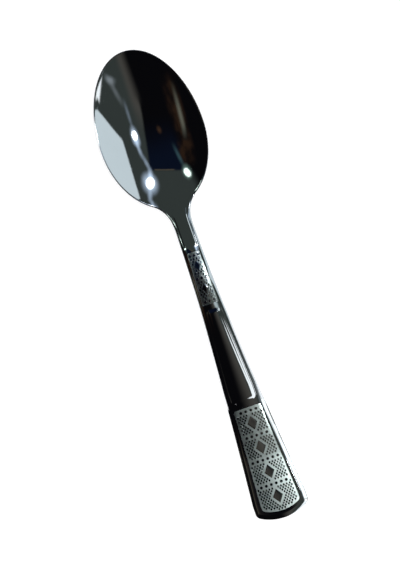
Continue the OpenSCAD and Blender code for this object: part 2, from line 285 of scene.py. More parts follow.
    @cached_property
    def end_panel_at(self) -> float:
        """Place where the end etched panel starts."""
        return self.plain_end_at + self.end_band

    @cached_property
    def spoon_len(self) -> float:
        """Length of the spoon."""
        return self.end_panel_at + self.end_len + self.end_rim

    @cached_property
    def tail_at(self) -> float:
        """Place from which the sides run parallel."""
        return self.spoon_len - self.tail_len

    @cached_property
    def arc_at(self) -> float:
        """Centre of the end's arc."""
        return self.spoon_len - self.end_arc_r

    @cached_property
    def rest_at(self) -> float:
        """Place where the flat underside starts."""
        return self.spoon_len - self.rest_len

    @cached_property
    def arch_at(self) -> float:
        """Place of the arch's top."""
        return mix(self.tongue_at, self.rest_at, self.arch_share)

    @cached_property
    def blend_from(self) -> float:
        """Place where the bowl's form starts to give way to the handle's."""
        return mix(self.tip_len, self.leave_at, self.blend_from_share)

    @cached_property
    def blend_to(self) -> float:
        """Place where the handle's form has taken over."""
        return self.fillet_at + self.blend_to_share * self.neck_len

    def side_hw(self, at: float) -> float:
        """Half width of the neck and the handle's sides at a place."""
        u = held((at - self.tongue_at) / (self.tail_at - self.tongue_at))
        return mix(self.neck_hw, self.end_hw, u**self.flare_power)

    def plan_hw(self, at: float) -> float:
        """Half width of the plan outline at a place behind the bowl's widest one.

        Args:
            at: Distance from the tip.

        Returns:
            The half width, without the rounded end.
        """
        if at < self.leave_at:
            share = (at - self.tip_len) / self.rear_len
            return self.bowl_hw * math.sqrt(max(0.0, 1 - share * share))
        if at < self.fillet_at:
            rise = math.sqrt(self.fillet_r**2 - (self.fillet_at - at) ** 2)
            return self.neck_hw + self.fillet_r - rise
        return self.side_hw(at)

    def bowl_way(self, x: float, at: float) -> float:
        """Way out from the bowl's deepest point, 1 on its two half ellipses."""
        reach = self.tip_len if at < self.tip_len else self.rear_len
        return math.hypot(x / self.bowl_hw, (at - self.tip_len) / reach)

    def bowl_top(self, x: float, at: float) -> float:
        """Height of the bowl's inside.

        Args:
            x: Distance from the axis.
            at: Distance from the tip.

        Returns:
            The height.
        """
        rise = self.rim_rise * (max(0.0, at - self.tip_len) / self.rear_len) ** 2
        rim = self.bowl_depth + self.bowl_t + rise
        return rim - self.bowl_depth * (1 - self.bowl_way(x, at) ** self.dish_power)

    def bowl_under(self, x: float, at: float) -> float:
        """Height of the bowl's underside, the sheet's thickness square to the slope.

        Args:
            x: Distance from the axis.
            at: Distance from the tip.

        Returns:
            The height.
        """
        way = self.bowl_way(x, at) ** (self.dish_power - 1)
        slope = self.bowl_depth * self.dish_power * way / self.bowl_hw
        return self.bowl_top(x, at) - self.bowl_t * math.hypot(1, slope)

    def handle_under(self, at: float) -> float:
        """Height of the handle's underside.

        Args:
            at: Distance from the tip.

        Returns:
            The height.
        """
        if at < self.arch_at:
            reach = self.arch_at - self.tongue_at
            drop = math.tan(math.radians(self.neck_deg)) * reach / self.arch_power
            return self.arch_h - drop * ((self.arch_at - at) / reach) ** self.arch_power
        return self.arch_h * (1 - ramp(at, self.arch_at, self.rest_at))

    def end_edge(self, at: float) -> float:
        """Share of the handle's end in the bevel, half of it where the plain panel ends."""
        return ease((at - self.plain_end_at) / self.end_edge_len + 0.5)

    def bevel_w(self, at: float) -> float:
        """Width of the bevel at a place."""
        return mix(self.edge_w, self.end_edge_w, self.end_edge(at))

    def rim_w(self, at: float) -> float:
        """Distance of the grooves from the sides at a place."""
        along = ramp(at, self.tongue_at, self.plain_at)
        return mix(self.groove_in, self.stem_groove_in, along) + self.bevel_w(at) - self.edge_w

    def rim_drop(self, x: float, at: float) -> float:
        """Fall of the rims outside the grooves, in full beside the plain panel.

        Args:
            x: Distance from the axis.
            at: Distance from the tip.

        Returns:
            The fall below the handle's top.
        """
        out_at = self.end_panel_at + self.rim_out_share * self.end_len
        along = ramp(at, self.tongue_at, self.plain_at) * ramp(at, out_at, self.plain_end_at)
        return self.rim_fall * along * max(0.0, 1 - (self.side_hw(at) - abs(x)) / self.rim_w(at))

    def handle_top(self, x: float, at: float) -> float:
        """Height of the handle's crowned top, with the neck's shallow channel.

        Args:
            x: Distance from the axis.
            at: Distance from the tip.

        Returns:
            The height.
        """
        thinning = ramp(at, self.tongue_at, self.rest_at)
        crown = mix(self.neck_crown_h, self.crown_h, ramp(at, self.tongue_at, self.tail_at))
        fall = self.rim_drop(x, at) + crown * min(1.0, abs(x) / self.plan_hw(at)) ** 2
        across = min(1.0, abs(x) / self.groove_x(at))
        fall += self.tongue_d * ease((self.tongue_at - at) / self.tongue_out) * (1 - across**2)
        return self.handle_under(at) + mix(self.neck_t, self.end_t, thinning) - fall

    def groove_x(self, at: float) -> float:
        """Distance of a groove's inner lip from the axis.

        Args:
            at: Distance from the tip.

        Returns:
            The distance, a share of the half width along the shoulders.
        """
        hw = self.plan_hw(at)
        lip = self.rim_w(at) + self.groove_w / 2
        return (1 - lip / self.neck_hw) * hw if at < self.fillet_at else hw - lip

    def top_z(self, x: float, at: float) -> float:
        """Height of the upper face, the bowl's form blended into the handle's.

        Args:
            x: Distance from the axis.
            at: Distance from the tip.

        Returns:
            The height.
        """
        w = ramp(at, self.blend_from, self.blend_to)
        bowl = self.bowl_top(x, at) if w < 1 else 0.0
        return mix(bowl, self.handle_top(x, at) if w > 0 else 0.0, w)

    def under_z(self, x: float, at: float) -> float:
        """Height of the lower face, blended in the same way.

        Args:
            x: Distance from the axis.
            at: Distance from the tip.

        Returns:
            The height.
        """
        w = ramp(at, self.blend_from, self.blend_to)
        bowl = self.bowl_under(x, at) if w < 1 else 0.0
        return mix(bowl, self.handle_under(at) if w > 0 else 0.0, w)

    def groove_depth(self, at: float) -> float:
        """Depth of the two grooves, along the neck's tongue and beside the plain panel.

        Args:
            at: Distance from the tip.

        Returns:
            The depth, 0 where no groove runs.
        """
        shoulders = (at - self.leave_at) / (self.fillet_at - self.leave_at)
        tongue_in = ease(shoulders / self.groove_start_share)
        tongue_out = ease((self.tongue_at - at) / self.groove_w)
        panel_in = ease((at - self.plain_at) / self.groove_w)
        panel_out = ease((self.plain_end_at - at) / self.groove_w)
        return self.groove_d * max(min(tongue_in, tongue_out), min(panel_in, panel_out))

    def point(self, x: float, at: float, z: float) -> Vector:
        """Point in the shared frame, in metres."""
        return Vector((x, self.spoon_len / 2 - at, z)) * MM

    def round_end(
        self, hw: float, arc_r: float, corner_r: float, corner_n: int, arc_n: int
    ) -> list[Row]:
        """Rounded end of an outline: a corner tangent to the side, then the end's arc.

        Args:
            hw: Half width of the sides.
            arc_r: Radius of the end's arc.
            corner_r: Radius of the corner.
            corner_n: Steps round the corner.
            arc_n: Steps along the arc.

        Returns:
            Rows of half width and place, ending on the axis.
        """
        reach, side = arc_r - corner_r, hw - corner_r
        arc_deg = math.degrees(math.asin(side / reach))
        centre_at = self.arc_at + math.sqrt(reach**2 - side**2)
        rows = []
        for k in range(corner_n + 1):
            across, along = turned(corner_r, (90 - arc_deg) * k / corner_n)
            rows.append((side + across, centre_at + along))
        for k in range(1, arc_n + 1):
            along, across = turned(arc_r, arc_deg * (1 - k / arc_n))
            rows.append((across, self.arc_at + along))
        return rows


BLANK = Blank()


def close_skin(bm: bmesh.types.BMesh) -> None:
    """Welds a skin, fills its open ends with flat sharp-edged faces and turns it outwards.

    Args:
        bm: The skin.
    """
    bmesh.ops.remove_doubles(bm, verts=bm.verts[:], dist=TINY)
    bmesh.ops.dissolve_degenerate(bm, edges=bm.edges[:], dist=TINY)
    for f in bm.faces:
        f.smooth = True
    open_edges = [e for e in bm.edges if e.is_boundary]
    for f in bmesh.ops.holes_fill(bm, edges=open_edges, sides=0)["faces"]:
        f.smooth = False
        for e in f.edges:
            e.smooth = False
    bmesh.ops.recalc_face_normals(bm, faces=bm.faces[:])


def loft(rings: list[list[Vector]]) -> bmesh.types.BMesh:
    """Lofts a closed skin through rings of points.

    Args:
        rings: Rings with the same number of points, in metres.

    Returns:
        A closed mesh. A ring that folds onto itself closes its end without a face.
    """
    bm = bmesh.new()
    n, last = len(rings[0]), len(rings) - 1
    bmesh.ops.create_grid(bm, x_segments=n, y_segments=last, size=0.5)
    for v in bm.verts:
        j = round((v.co.x + 0.5) * n)
        i = round((v.co.y + 0.5) * last)
        v.co = rings[i][j % n]
    close_skin(bm)
    return bm


def sharpen(bm: bmesh.types.BMesh, degrees: float = CREASE_DEG) -> None:
    """Shades every face smooth, with sharp edges where faces meet at more than an angle.

    Args:
        bm: The mesh.
        degrees: The angle.
    """
    for f in bm.faces:
        f.smooth = True
    for e in bm.edges:
        if len(e.link_faces) == 2 and e.calc_face_angle() > math.radians(degrees):
            e.smooth = False


def as_object(bm: bmesh.types.BMesh, name: str) -> bpy.types.Object:
    """Makes a bmesh an object at the origin, and frees the bmesh.

    Args:
        bm: The finished mesh.
        name: Name of the object.

    Returns:
        The object, linked to the scene.
    """
    mesh = bpy.data.meshes.new(name)
    bm.to_mesh(mesh)
    bm.free()
    obj = bpy.data.objects.new(name, mesh)
    bpy.context.scene.collection.objects.link(obj)
    return obj


class Link:
    """Small maker of shader nodes, so that a finish reads as a few lines."""

    def __init__(self, owner: bpy.types.Material | bpy.types.World) -> None:
        """Empties a node tree.

        Args:
            owner: Material or world that the tree belongs to.
        """
        owner.use_nodes = True
        self.owner, self.tree = owner, owner.node_tree
        self.tree.nodes.clear()

    @classmethod
    def material(cls, name: str) -> "Link":
        """Starts a new material of that name."""
        return cls(bpy.data.materials.new(name))

    def end(self, shader: bpy.types.Node) -> bpy.types.Material | bpy.types.World:
        """Ends the tree with a shader.

        Args:
            shader: The last node.

        Returns:
            The material or world that the tree belongs to.
        """
        kind = "World" if isinstance(self.owner, bpy.types.World) else "Material"
        self.add(f"ShaderNodeOutput{kind}", Surface=shader.outputs[0])
        return self.owner

    def add(self, kind: str, settings: dict | None = None, **inputs: object) -> bpy.types.Node:
        """Adds a node and sets or links its inputs.

        Args:
            kind: The node's type.
            settings: Values of the node's own properties.
            **inputs: Values, colours or sockets for its inputs; _ in a name stands for a space,
                and a name such as i0 is an index.

        Returns:
            The node.
        """
        node = self.tree.nodes.new(kind)
        for key, value in (settings or {}).items():
            setattr(node, key, value)
        for key, value in inputs.items():
            by_index = key[0] == "i" and key[1:].isdigit()
            socket = node.inputs[int(key[1:]) if by_index else key.replace("_", " ")]
            if isinstance(value, Socket):
                self.tree.links.new(value, socket)
            elif socket.type == "RGBA":
                socket.default_value = (*value, 1)
            else:
                socket.default_value = value
        return node

    def math(self, operation: str, *values: object) -> Socket:
        """Adds a Math node over numbers or sockets and returns its result."""
        named = {f"i{k}": v for k, v in enumerate(values)}
        return self.add("ShaderNodeMath", {"operation": operation}, **named).outputs[0]

    def product(self, *factors: object) -> Socket:
        """Multiplies numbers or sockets and returns the result."""
        return reduce(partial(self.math, "MULTIPLY"), factors)

    def noise(self, where: Socket, scale: float, detail: float, **inputs: object) -> Socket:
        """Adds a Noise Texture and returns its factor."""
        kind = "ShaderNodeTexNoise"
        return self.add(kind, Vector=where, Scale=scale, Detail=detail, **inputs).outputs[0]

    def span(
        self, value: object, low: float, high: float, to_low: float = 0.0, to_high: float = 1.0
    ) -> Socket:
        """Maps low to high onto another span, smoothly and held at both ends.

        Args:
            value: Socket or number to map.
            low: Value that gives to_low.
            high: Value that gives to_high.
            to_low: Result at and below low.
            to_high: Result at and above high.

        Returns:
            The mapped socket.
        """
        ends = {"From_Min": low, "From_Max": high, "To_Min": to_low, "To_Max": to_high}
        smooth = {"interpolation_type": "SMOOTHSTEP"}
        return self.add("ShaderNodeMapRange", smooth, Value=value, **ends).outputs["Result"]

    def tint(self, factor: Socket, low: Point | Socket, high: Point | Socket) -> Socket:
        """Mixes from one colour at 0 to another at 1 and returns the mixed colour."""
        node = self.add("ShaderNodeMix", {"data_type": "RGBA"}, i0=factor, i6=low, i7=high)
        return node.outputs[2]

    def steel(
        self, colour: Socket, roughness: Socket, height: Socket, strength: float, depth: float
    ) -> bpy.types.Material:
        """Ends a material as bare steel with a fine relief.

        Args:
            colour: Reflected colour.
            roughness: Roughness.
            height: Pattern of the relief.
            strength: Strength of the relief.
            depth: Depth of the relief in metres.

        Returns:
            The finished material.
        """
        bump = self.add("ShaderNodeBump", Strength=strength, Distance=depth, Height=height)
        looks = {"Base_Color": colour, "Metallic": 1.0, "Roughness": roughness}
        return self.end(self.add("ShaderNodeBsdfPrincipled", **looks, Normal=bump.outputs[0]))


@dataclass(frozen=True)
class PolishedSteel:
    """Mirror-polished stainless steel with hairline scratches and a faint haze.

    Attributes:
        low: Darkest reflected colour.
        high: Lightest reflected colour.
        smooth: Roughness of the cleanest polish.
        hazy: Roughness where the polish is worn.
        scratch: Strength of the scratches' bump.
        scratch_d: Depth of the scratches in metres.
        hair_scale: How finely the hairlines along the spoon repeat, in X, Y and Z.
        stray_scale: The same for the stray ones.
        stray_turn: Angle of the stray ones in radians.
        haze_scale: How finely the haze repeats.
    """

    low: Point = (0.64, 0.65, 0.66)
    high: Point = (0.69, 0.70, 0.71)
    smooth: float = 0.03
    hazy: float = 0.075
    scratch: float = 0.12
    scratch_d: float = 0.000004
    hair_scale: Point = (9000.0, 170.0, 4000.0)
    stray_scale: Point = (260.0, 7000.0, 3000.0)
    stray_turn: float = 0.9
    haze_scale: float = 110.0

    def make(self) -> bpy.types.Material:
        """Builds the material.

        Returns:
            The finished material.
        """
        link = Link.material("polished_steel")
        where = link.add("ShaderNodeTexCoord").outputs["Object"]
        along = link.add("ShaderNodeMapping", Vector=where, Scale=self.hair_scale)
        turn = (0, 0, self.stray_turn)
        across = link.add("ShaderNodeMapping", Vector=where, Rotation=turn, Scale=self.stray_scale)
        hair = link.noise(along.outputs[0], 1.0, 3.0)
        stray = link.noise(across.outputs[0], 1.0, 2.0)
        haze = link.noise(where, self.haze_scale, 4.0, Roughness=0.6)
        lines = link.math("ADD", link.span(hair, 0.35, 0.7), link.span(stray, 0.6, 0.75))
        worn = link.product(link.span(haze, 0.45, 0.75), link.span(hair, 0.3, 0.7))
        colour = link.tint(haze, self.low, self.high)
        roughness = link.span(worn, 0.0, 1.0, self.smooth, self.hazy)
        return link.steel(colour, roughness, lines, self.scratch, self.scratch_d)


@dataclass(frozen=True)
class EtchedSteel:
    """Frosted, acid-etched steel with a fine even grain.

    Attributes:
        low: Colour in the grain's pits.
        high: Colour on the grain's tops.
        fine: Least roughness.
        coarse: Greatest roughness.
        grain: Strength of the grain's bump.
        grain_d: Depth of the grain in metres.
        grain_scale: How finely the grain repeats.
        cloud_scale: How finely the roughness changes.
    """

    low: Point = (0.74, 0.77, 0.76)
    high: Point = (0.84, 0.87, 0.86)
    fine: float = 0.30
    coarse: float = 0.36
    grain: float = 0.35
    grain_d: float = 0.00001
    grain_scale: float = 14000.0
    cloud_scale: float = 900.0

    def make(self) -> bpy.types.Material:
        """Builds the material.

        Returns:
            The finished material.
        """
        link = Link.material("etched_steel")
        where = link.add("ShaderNodeTexCoord").outputs["Object"]
        grain = link.noise(where, self.grain_scale, 2.0, Roughness=0.7)
        cloud = link.noise(where, self.cloud_scale, 3.0)
        colour = link.tint(link.span(grain, 0.35, 0.65), self.low, self.high)
        roughness = link.span(cloud, 0.3, 0.7, self.fine, self.coarse)
        return link.steel(colour, roughness, grain, self.grain, self.grain_d)


class Slot(Enum):
    """Material slots of the record."""

    POLISHED = "polished_steel"
    ETCHED = "etched_steel"


@dataclass
class Finishes:
    """The two finishes, made once and shared by the pieces."""

    made: dict[Slot, bpy.types.Material]

    @classmethod
    def prepare(cls) -> "Finishes":
        """Makes both finishes."""
        return cls({Slot.POLISHED: PolishedSteel().make(), Slot.ETCHED: EtchedSteel().make()})

    def dress(self, piece: bpy.types.Object, slot: Slot, *nodes: str) -> None:
        """Gives a piece its finish, body and slot, and lets it stand for CAD nodes.

        Args:
            piece: The finished piece.
            slot: Its material slot.
            *nodes: The CAD nodes that it replaces.
        """
        piece.data.materials.clear()
        piece.data.materials.append(self.made[slot])
        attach(piece, "root")
        if nodes:
            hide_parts(*nodes)
        log.info("%s: %d faces, %s", piece.name, len(piece.data.polygons), slot.value)


@dataclass(frozen=True)
class Section:
    """How finely a section of the blank is drawn, in steps.

    Attributes:
        bevel: Upper half of an edge's profile from its rim inwards: widths in, and widths down on
            the stem, on the bowl and at the handle's end.
        tongue_n: Steps from the middle to a groove.
        groove_n: Steps across a groove.
        rim_n: Steps from a groove to the edge's rounding.
        flat_below: How many times less the handle's end falls on the lower half of its edge.
    """

    bevel: tuple[tuple[float, float, float, float], ...] = (
        (0.0, 1.2, 1.2, 1.2),
        (0.0, 0.46, 1.15, 0.525),
        (0.03, 0.38, 1.07, 0.5),
        (0.12, 0.31, 0.86, 0.43),
        (0.35, 0.2, 0.33, 0.29),
        (0.6, 0.1, 0.13, 0.146),
        (0.8, 0.035, 0.035, 0.046),
        (0.92, 0.008, 0.008, 0.01),
    )
    tongue_n: int = 14
    groove_n: int = 2
    rim_n: int = 5
    flat_below: float = 3.0


@dataclass(frozen=True)
class Outline:
    """Right half of the plan outline from the tip to the end, with its stations by zone.

    Attributes:
        front_n: Steps along the front half ellipse.
        rear_n: Steps along the rear ellipse.
        fillet_n: Steps round a shoulder.
        neck_n: Steps along the neck.
        upper_n: Steps along the upper stem.
        stem_n: Steps along the stem.
        tail_n: Steps along the handle's end.
        corner_n: Steps round an end corner.
        arc_n: Steps along half of the end's arc.
        lip: Length of the thin step on both sides of a cut.
        names: The zones in order.
    """

    front_n: int = 56
    rear_n: int = 40
    fillet_n: int = 26
    neck_n: int = 34
    upper_n: int = 44
    stem_n: int = 64
    tail_n: int = 64
    corner_n: int = 14
    arc_n: int = 22
    lip: float = 0.02
    names: tuple[str, ...] = ("bowl", "neck", "upper_stem", "stem", "handle_end")

    @cached_property
    def zones(self) -> dict[str, tuple[int, int]]:
        """First and last station of each zone of the blank, which share their cuts.

        Returns:
            The stations under the zones' names, in order.
        """
        bowl_n = self.front_n + self.rear_n + self.fillet_n
        zones, first = {}, 0
        for name, n in zip(self.names, (bowl_n, self.neck_n, self.upper_n, self.stem_n)):
            zones[name] = (first, first + n)
            first += n
        return {**zones, self.names[-1]: (first, len(self.rows) - 1)}

    def stretch(self, start: float, end: float, n: int) -> list[Row]:
        """Rows along the handle's sides, with thin steps beside both ends.

        Args:
            start: Place where the stretch starts, which has its row already.
            end: Place where it ends.
            n: Number of rows.

        Returns:
            Rows of half width and place.
        """
        places = [start + self.lip]
        places += [mix(start, end, k / (n - 2)) for k in range(1, n - 2)]
        places += [end - self.lip, end]
        return [(BLANK.side_hw(at), at) for at in places]

    @cached_property
    def rows(self) -> list[Row]:
        """Rows of half width and place, from the tip to the middle of the end.

        Returns:
            The rows, one for each station.
        """
        b = BLANK
        cuts = [
            b.fillet_at,
            b.tongue_at + b.neck_band / 2,
            b.upper_end_at + b.upper_band / 2,
            b.plain_end_at + b.end_band / 2,
        ]
        rows = []
        for k in range(self.front_n):
            along, across = turned(1, 90 * k / self.front_n)
            rows.append((b.bowl_hw * across, b.tip_len * (1 - along)))
        for k in range(self.rear_n + 1):
            across, along = turned(1, b.leave_deg * k / self.rear_n)
            rows.append((b.bowl_hw * across, b.tip_len + b.rear_len * along))
        angles = [b.turn * (1 - k / self.fillet_n) for k in range(1, self.fillet_n + 1)]
        angles[-2] = self.lip / b.fillet_r
        for a in angles:
            hw = b.neck_hw + b.fillet_r * (1 - math.cos(a))
            rows.append((hw, b.fillet_at - b.fillet_r * math.sin(a)))
        for k, n in enumerate((self.neck_n, self.upper_n, self.stem_n)):
            rows += self.stretch(cuts[k], cuts[k + 1], n)
        end = b.round_end(b.end_hw, b.end_arc_r, b.end_corner_r, self.corner_n, self.arc_n)
        return rows + self.stretch(cuts[3], end[0][1], self.tail_n)[:-2] + end

    def outward(self, i: int) -> Row:
        """Outward direction at a station, from the rows on either side.

        Args:
            i: Station.

        Returns:
            The direction's parts across and along.
        """
        rows = self.rows
        before = rows[i - 1] if i > 0 else (-rows[1][0], rows[1][1])
        after = rows[i + 1] if i + 1 < len(rows) else (-rows[-2][0], rows[-2][1])
        across, along = after[0] - before[0], after[1] - before[1]
        size = math.hypot(across, along)
        return along / size, -across / size


OUTLINE = Outline()


@dataclass(frozen=True)
class BlankZone:
    """One zone of the blank, a closed piece between two cuts or up to a closed nose.

    Attributes:
        name: The CAD node that the zone stands for.
        section: How finely its sections are drawn.
    """

    name: str
    section: Section = Section()

    def half_columns(self, i: int, inner: float) -> list[float]:
        """Columns of the right half of a section, out from the middle.

        Args:
            i: Station.
            inner: Half width inside the edge's bevel.

        Returns:
            Distances from the axis, the last one being inner.
        """
        s, b = self.section, BLANK
        hw, at = OUTLINE.rows[i]
        by_share = at < b.fillet_at or hw < b.neck_hw
        groove = (1 - b.groove_in / b.neck_hw) * hw if by_share else hw - b.rim_w(at)
        half = b.groove_w / 2 * (hw / b.neck_hw if by_share else 1)
        columns = [(groove - half) * k / s.tongue_n for k in range(1, s.tongue_n + 1)]
        columns += [groove - half + 2 * half * k / s.groove_n for k in range(1, s.groove_n + 1)]
        columns += [mix(groove + half, inner, k / s.rim_n) for k in range(1, s.rim_n + 1)]
        return columns

    def edge_point(self, i: int, part: tuple[float, ...], side: int, up: int) -> Vector:
        """Point on a bevelled edge.

        Args:
            i: Station.
            part: Row of the section's bevel.
            side: 1 on the right and -1 on the left.
            up: 1 on the upper half and -1 on the lower.

        Returns:
            The point in metres.
        """
        b, (inward, on_stem, on_bowl, on_end) = BLANK, part
        (hw, at), out = OUTLINE.rows[i], OUTLINE.outward(i)
        wide = b.bevel_w(at)
        x = hw - out[0] * wide * inward
        at = at - out[1] * wide * inward
        top, under = b.top_z(x, at), b.under_z(x, at)
        if up < 0:
            on_end /= self.section.flat_below
        down = mix(on_bowl, on_stem, ramp(at, b.leave_at, b.fillet_at))
        down = wide * mix(down, on_end, b.end_edge(at))
        return b.point(side * x, at, (top + under) / 2 + up * max(0.0, (top - under) / 2 - down))

    def ring(self, i: int) -> list[Vector]:
        """One section: over the top from left to right and back underneath.

        Args:
            i: Station.

        Returns:
            The ring's points in metres.
        """
        s, b = self.section, BLANK
        (hw, at), out = OUTLINE.rows[i], OUTLINE.outward(i)
        wide = b.bevel_w(at)
        inner, at_in = max(0.0, hw - out[0] * wide), at - out[1] * wide
        half = self.half_columns(i, inner)
        depth = b.groove_depth(at_in)
        xs = [-x for x in reversed(half)] + [0.0] + half
        top = []
        for k, x in enumerate(xs):
            share = held((abs(k - len(half)) - s.tongue_n) / s.groove_n)
            sunk = depth * (1 - math.cos(2 * math.pi * share)) / 2
            top.append(b.point(x, at_in, b.top_z(x, at_in) - sunk))
        under = [b.point(x, at_in, b.under_z(x, at_in)) for x in reversed(xs)]
        left_up = [self.edge_point(i, part, -1, 1) for part in s.bevel]
        right_up = [self.edge_point(i, part, 1, 1) for part in reversed(s.bevel)]
        right_down = [self.edge_point(i, part, 1, -1) for part in s.bevel[1:]]
        left_down = [self.edge_point(i, part, -1, -1) for part in reversed(s.bevel[1:])]
        return left_up + top + right_up + right_down + under + left_down

    def build(self) -> bpy.types.Object:
        """Builds the zone's closed skin, held inside the CAD model's length.

        Returns:
            The zone as an object.
        """
        first, last = OUTLINE.zones[self.name]
        bm = loft([self.ring(i) for i in range(first, last + 1)])
        for v in bm.verts:
            v.co.y = min(max(v.co.y, CAD_BOX[0][1]), CAD_BOX[1][1])
        sharpen(bm)
        return as_object(bm, f"{self.name}_steel")


class Panel(Enum):
    """The three panels along the handle, in order."""

    UPPER = "upper"
    PLAIN = "plain"
    END = "end"


@dataclass(frozen=True)
class PanelOutline:
    """Half outline of a panel from its upper corner down its side.

    Attributes:
        panel: Which panel it is.
        square_r: Corner radius where a corner looks square.
        plain_r: Corner radius of the plain panel.
        end_r: Radius of the end panel's lower corners.
        end_share: Half width of the end panel, as a share of the handle's.
        corner_n: Steps round a corner.
        side_n: Steps down the side.
    """

    panel: Panel
    square_r: float = 0.35
    plain_r: float = 1.2
    end_r: float = 1.2
    end_share: float = 0.72
    corner_n: int = 8
    side_n: int = 48

    @property
    def start(self) -> float:
        """Place where the panel starts."""
        starts = (BLANK.upper_at, BLANK.plain_at, BLANK.end_panel_at)
        return dict(zip(Panel, starts))[self.panel]

    @property
    def length(self) -> float:
        """Length of the panel."""
        lengths = (BLANK.upper_len, BLANK.plain_len, BLANK.end_len)
        return dict(zip(Panel, lengths))[self.panel]

    def hw(self, at: float) -> float:
        """Half width of the panel's side at a place.

        Args:
            at: Distance from the tip.

        Returns:
            The half width, without rounded corners.
        """
        side = BLANK.side_hw(at)
        if self.panel is Panel.UPPER:
            return side - BLANK.groove_in
        if self.panel is Panel.PLAIN:
            return side - BLANK.rim_w(at) - BLANK.groove_w / 2
        return self.end_share * side

    def corner(self, at: float, r: float, down: int) -> list[Row]:
        """Rows round a square end's corner.

        Args:
            at: Place of that end.
            r: Radius of the corner.
            down: 1 from the end inwards and -1 outwards.

        Returns:
            Rows of half width and place.
        """
        hw = self.hw(at + down * r)
        turns = [turned(r, 90 * k / self.corner_n) for k in range(self.corner_n + 1)]
        return [(hw - r + across, at + down * (r - along)) for along, across in turns[::down]]

    def rows(self) -> list[Row]:
        """Rows of half width and place from the panel's start to its end.

        Returns:
            The rows, with the corners' own steps.
        """
        b, n = BLANK, self.corner_n
        r = self.plain_r if self.panel is Panel.PLAIN else self.square_r
        upper = self.corner(self.start, r, 1)
        if self.panel is Panel.END:
            arc_r = b.end_arc_r - b.end_rim
            lower = b.round_end(self.hw(b.tail_at), arc_r, self.end_r, n, 2 * n)
        else:
            lower = self.corner(self.start + self.length, r, -1)
        start, end = upper[-1][1], lower[0][1]
        sides = [mix(start, end, k / self.side_n) for k in range(1, self.side_n)]
        return upper + [(self.hw(at), at) for at in sides] + lower

    def room(self, x: float, at: float) -> float:
        """Least distance from a point to the panel's border, below 0 outside it.

        Args:
            x: Distance from the axis.
            at: Place along the spoon.

        Returns:
            The distance in millimetres.
        """
        b = BLANK
        room = min(self.hw(min(at, b.tail_at)) - abs(x), at - self.start)
        if self.panel is not Panel.END:
            return min(room, self.start + self.length - at)
        if at > b.arc_at:
            room = min(room, b.end_arc_r - b.end_rim - math.hypot(x, at - b.arc_at))
        return room


@dataclass(frozen=True)
class Plate:
    """Closed plate that follows the blank's top inside a panel's outline.

    Attributes:
        outline: The panel's outline.
        low: Depth of its underside below the blank's top.
        rim: Height of its border above the blank's top.
        high: Height of its middle above the blank's top.
        shoulder: Width over which it climbs from rim to high.
        columns_n: Steps from the axis to the border.
        crowding: Power by which the steps crowd towards the border.
        rounding: How far the shoulder's ramp is rounded at its foot and top.
        crease_deg: Angle from which its edges are crisp.
    """

    outline: PanelOutline
    low: float
    rim: float
    high: float
    shoulder: float = 1.2
    columns_n: int = 16
    crowding: float = 1.8
    rounding: float = 0.35
    crease_deg: float = 38.0

    def rise(self, room: float) -> float:
        """Height above the blank's top at a distance from the border."""
        c = held(room / self.shoulder)
        return mix(self.rim, self.high, mix(c, ease(c), self.rounding))

    def rings(self) -> list[list[Vector]]:
        """Rings of the plate, over its top from left to right and back underneath.

        Returns:
            The rings' points in metres.
        """
        b, rows, n = BLANK, self.outline.rows(), self.columns_n
        shares = [k / n for k in range(-n, n + 1)]
        rings = []
        for hw, at in rows:
            xs = [hw * math.copysign(1 - (1 - abs(s)) ** self.crowding, s) for s in shares]
            ends = min(at - rows[0][1], rows[-1][1] - at)
            zs = [b.top_z(x, at) for x in xs]
            rises = [self.rise(min(hw - abs(x), ends)) for x in xs]
            top = [b.point(x, at, z + rise) for x, z, rise in zip(xs, zs, rises)]
            under = [b.point(x, at, z - self.low) for x, z in zip(xs, zs)]
            rings.append(top + under[::-1])
        return rings

    def build(self, name: str) -> bpy.types.Object:
        """Builds the plate as an object with crisp borders.

        Args:
            name: Name of the object.

        Returns:
            The object.
        """
        bm = loft(self.rings())
        sharpen(bm, self.crease_deg)
        return as_object(bm, name)


@dataclass(frozen=True)
class Recess:
    """Recess cut into a zone of the blank for an etched panel, as deep as its plate.

    Attributes:
        outline: The panel's outline.
        over: How far the cutter stands over the blank.
    """

    outline: PanelOutline
    over: float = 0.8

    def cut(self, zone: bpy.types.Object) -> None:
        """Cuts the recess into the zone's mesh.

        Args:
            zone: Zone of the blank.
        """
        plate = Plate(self.outline, BLANK.recess_d, self.over, self.over)
        cutter = plate.build("recess_cutter")
        trim = zone.modifiers.new("recess", "BOOLEAN")
        trim.operation, trim.object, trim.solver = "DIFFERENCE", cutter, "EXACT"
        bpy.context.view_layer.update()
        trimmed = zone.evaluated_get(bpy.context.evaluated_depsgraph_get())
        cut = bpy.data.meshes.new_from_object(trimmed)
        zone.modifiers.clear()
        bm = bmesh.new()
        bm.from_mesh(cut)
        sharpen(bm)
        bm.to_mesh(zone.data)
        bm.free()
        bpy.data.objects.remove(cutter)
        bpy.data.meshes.remove(cut)


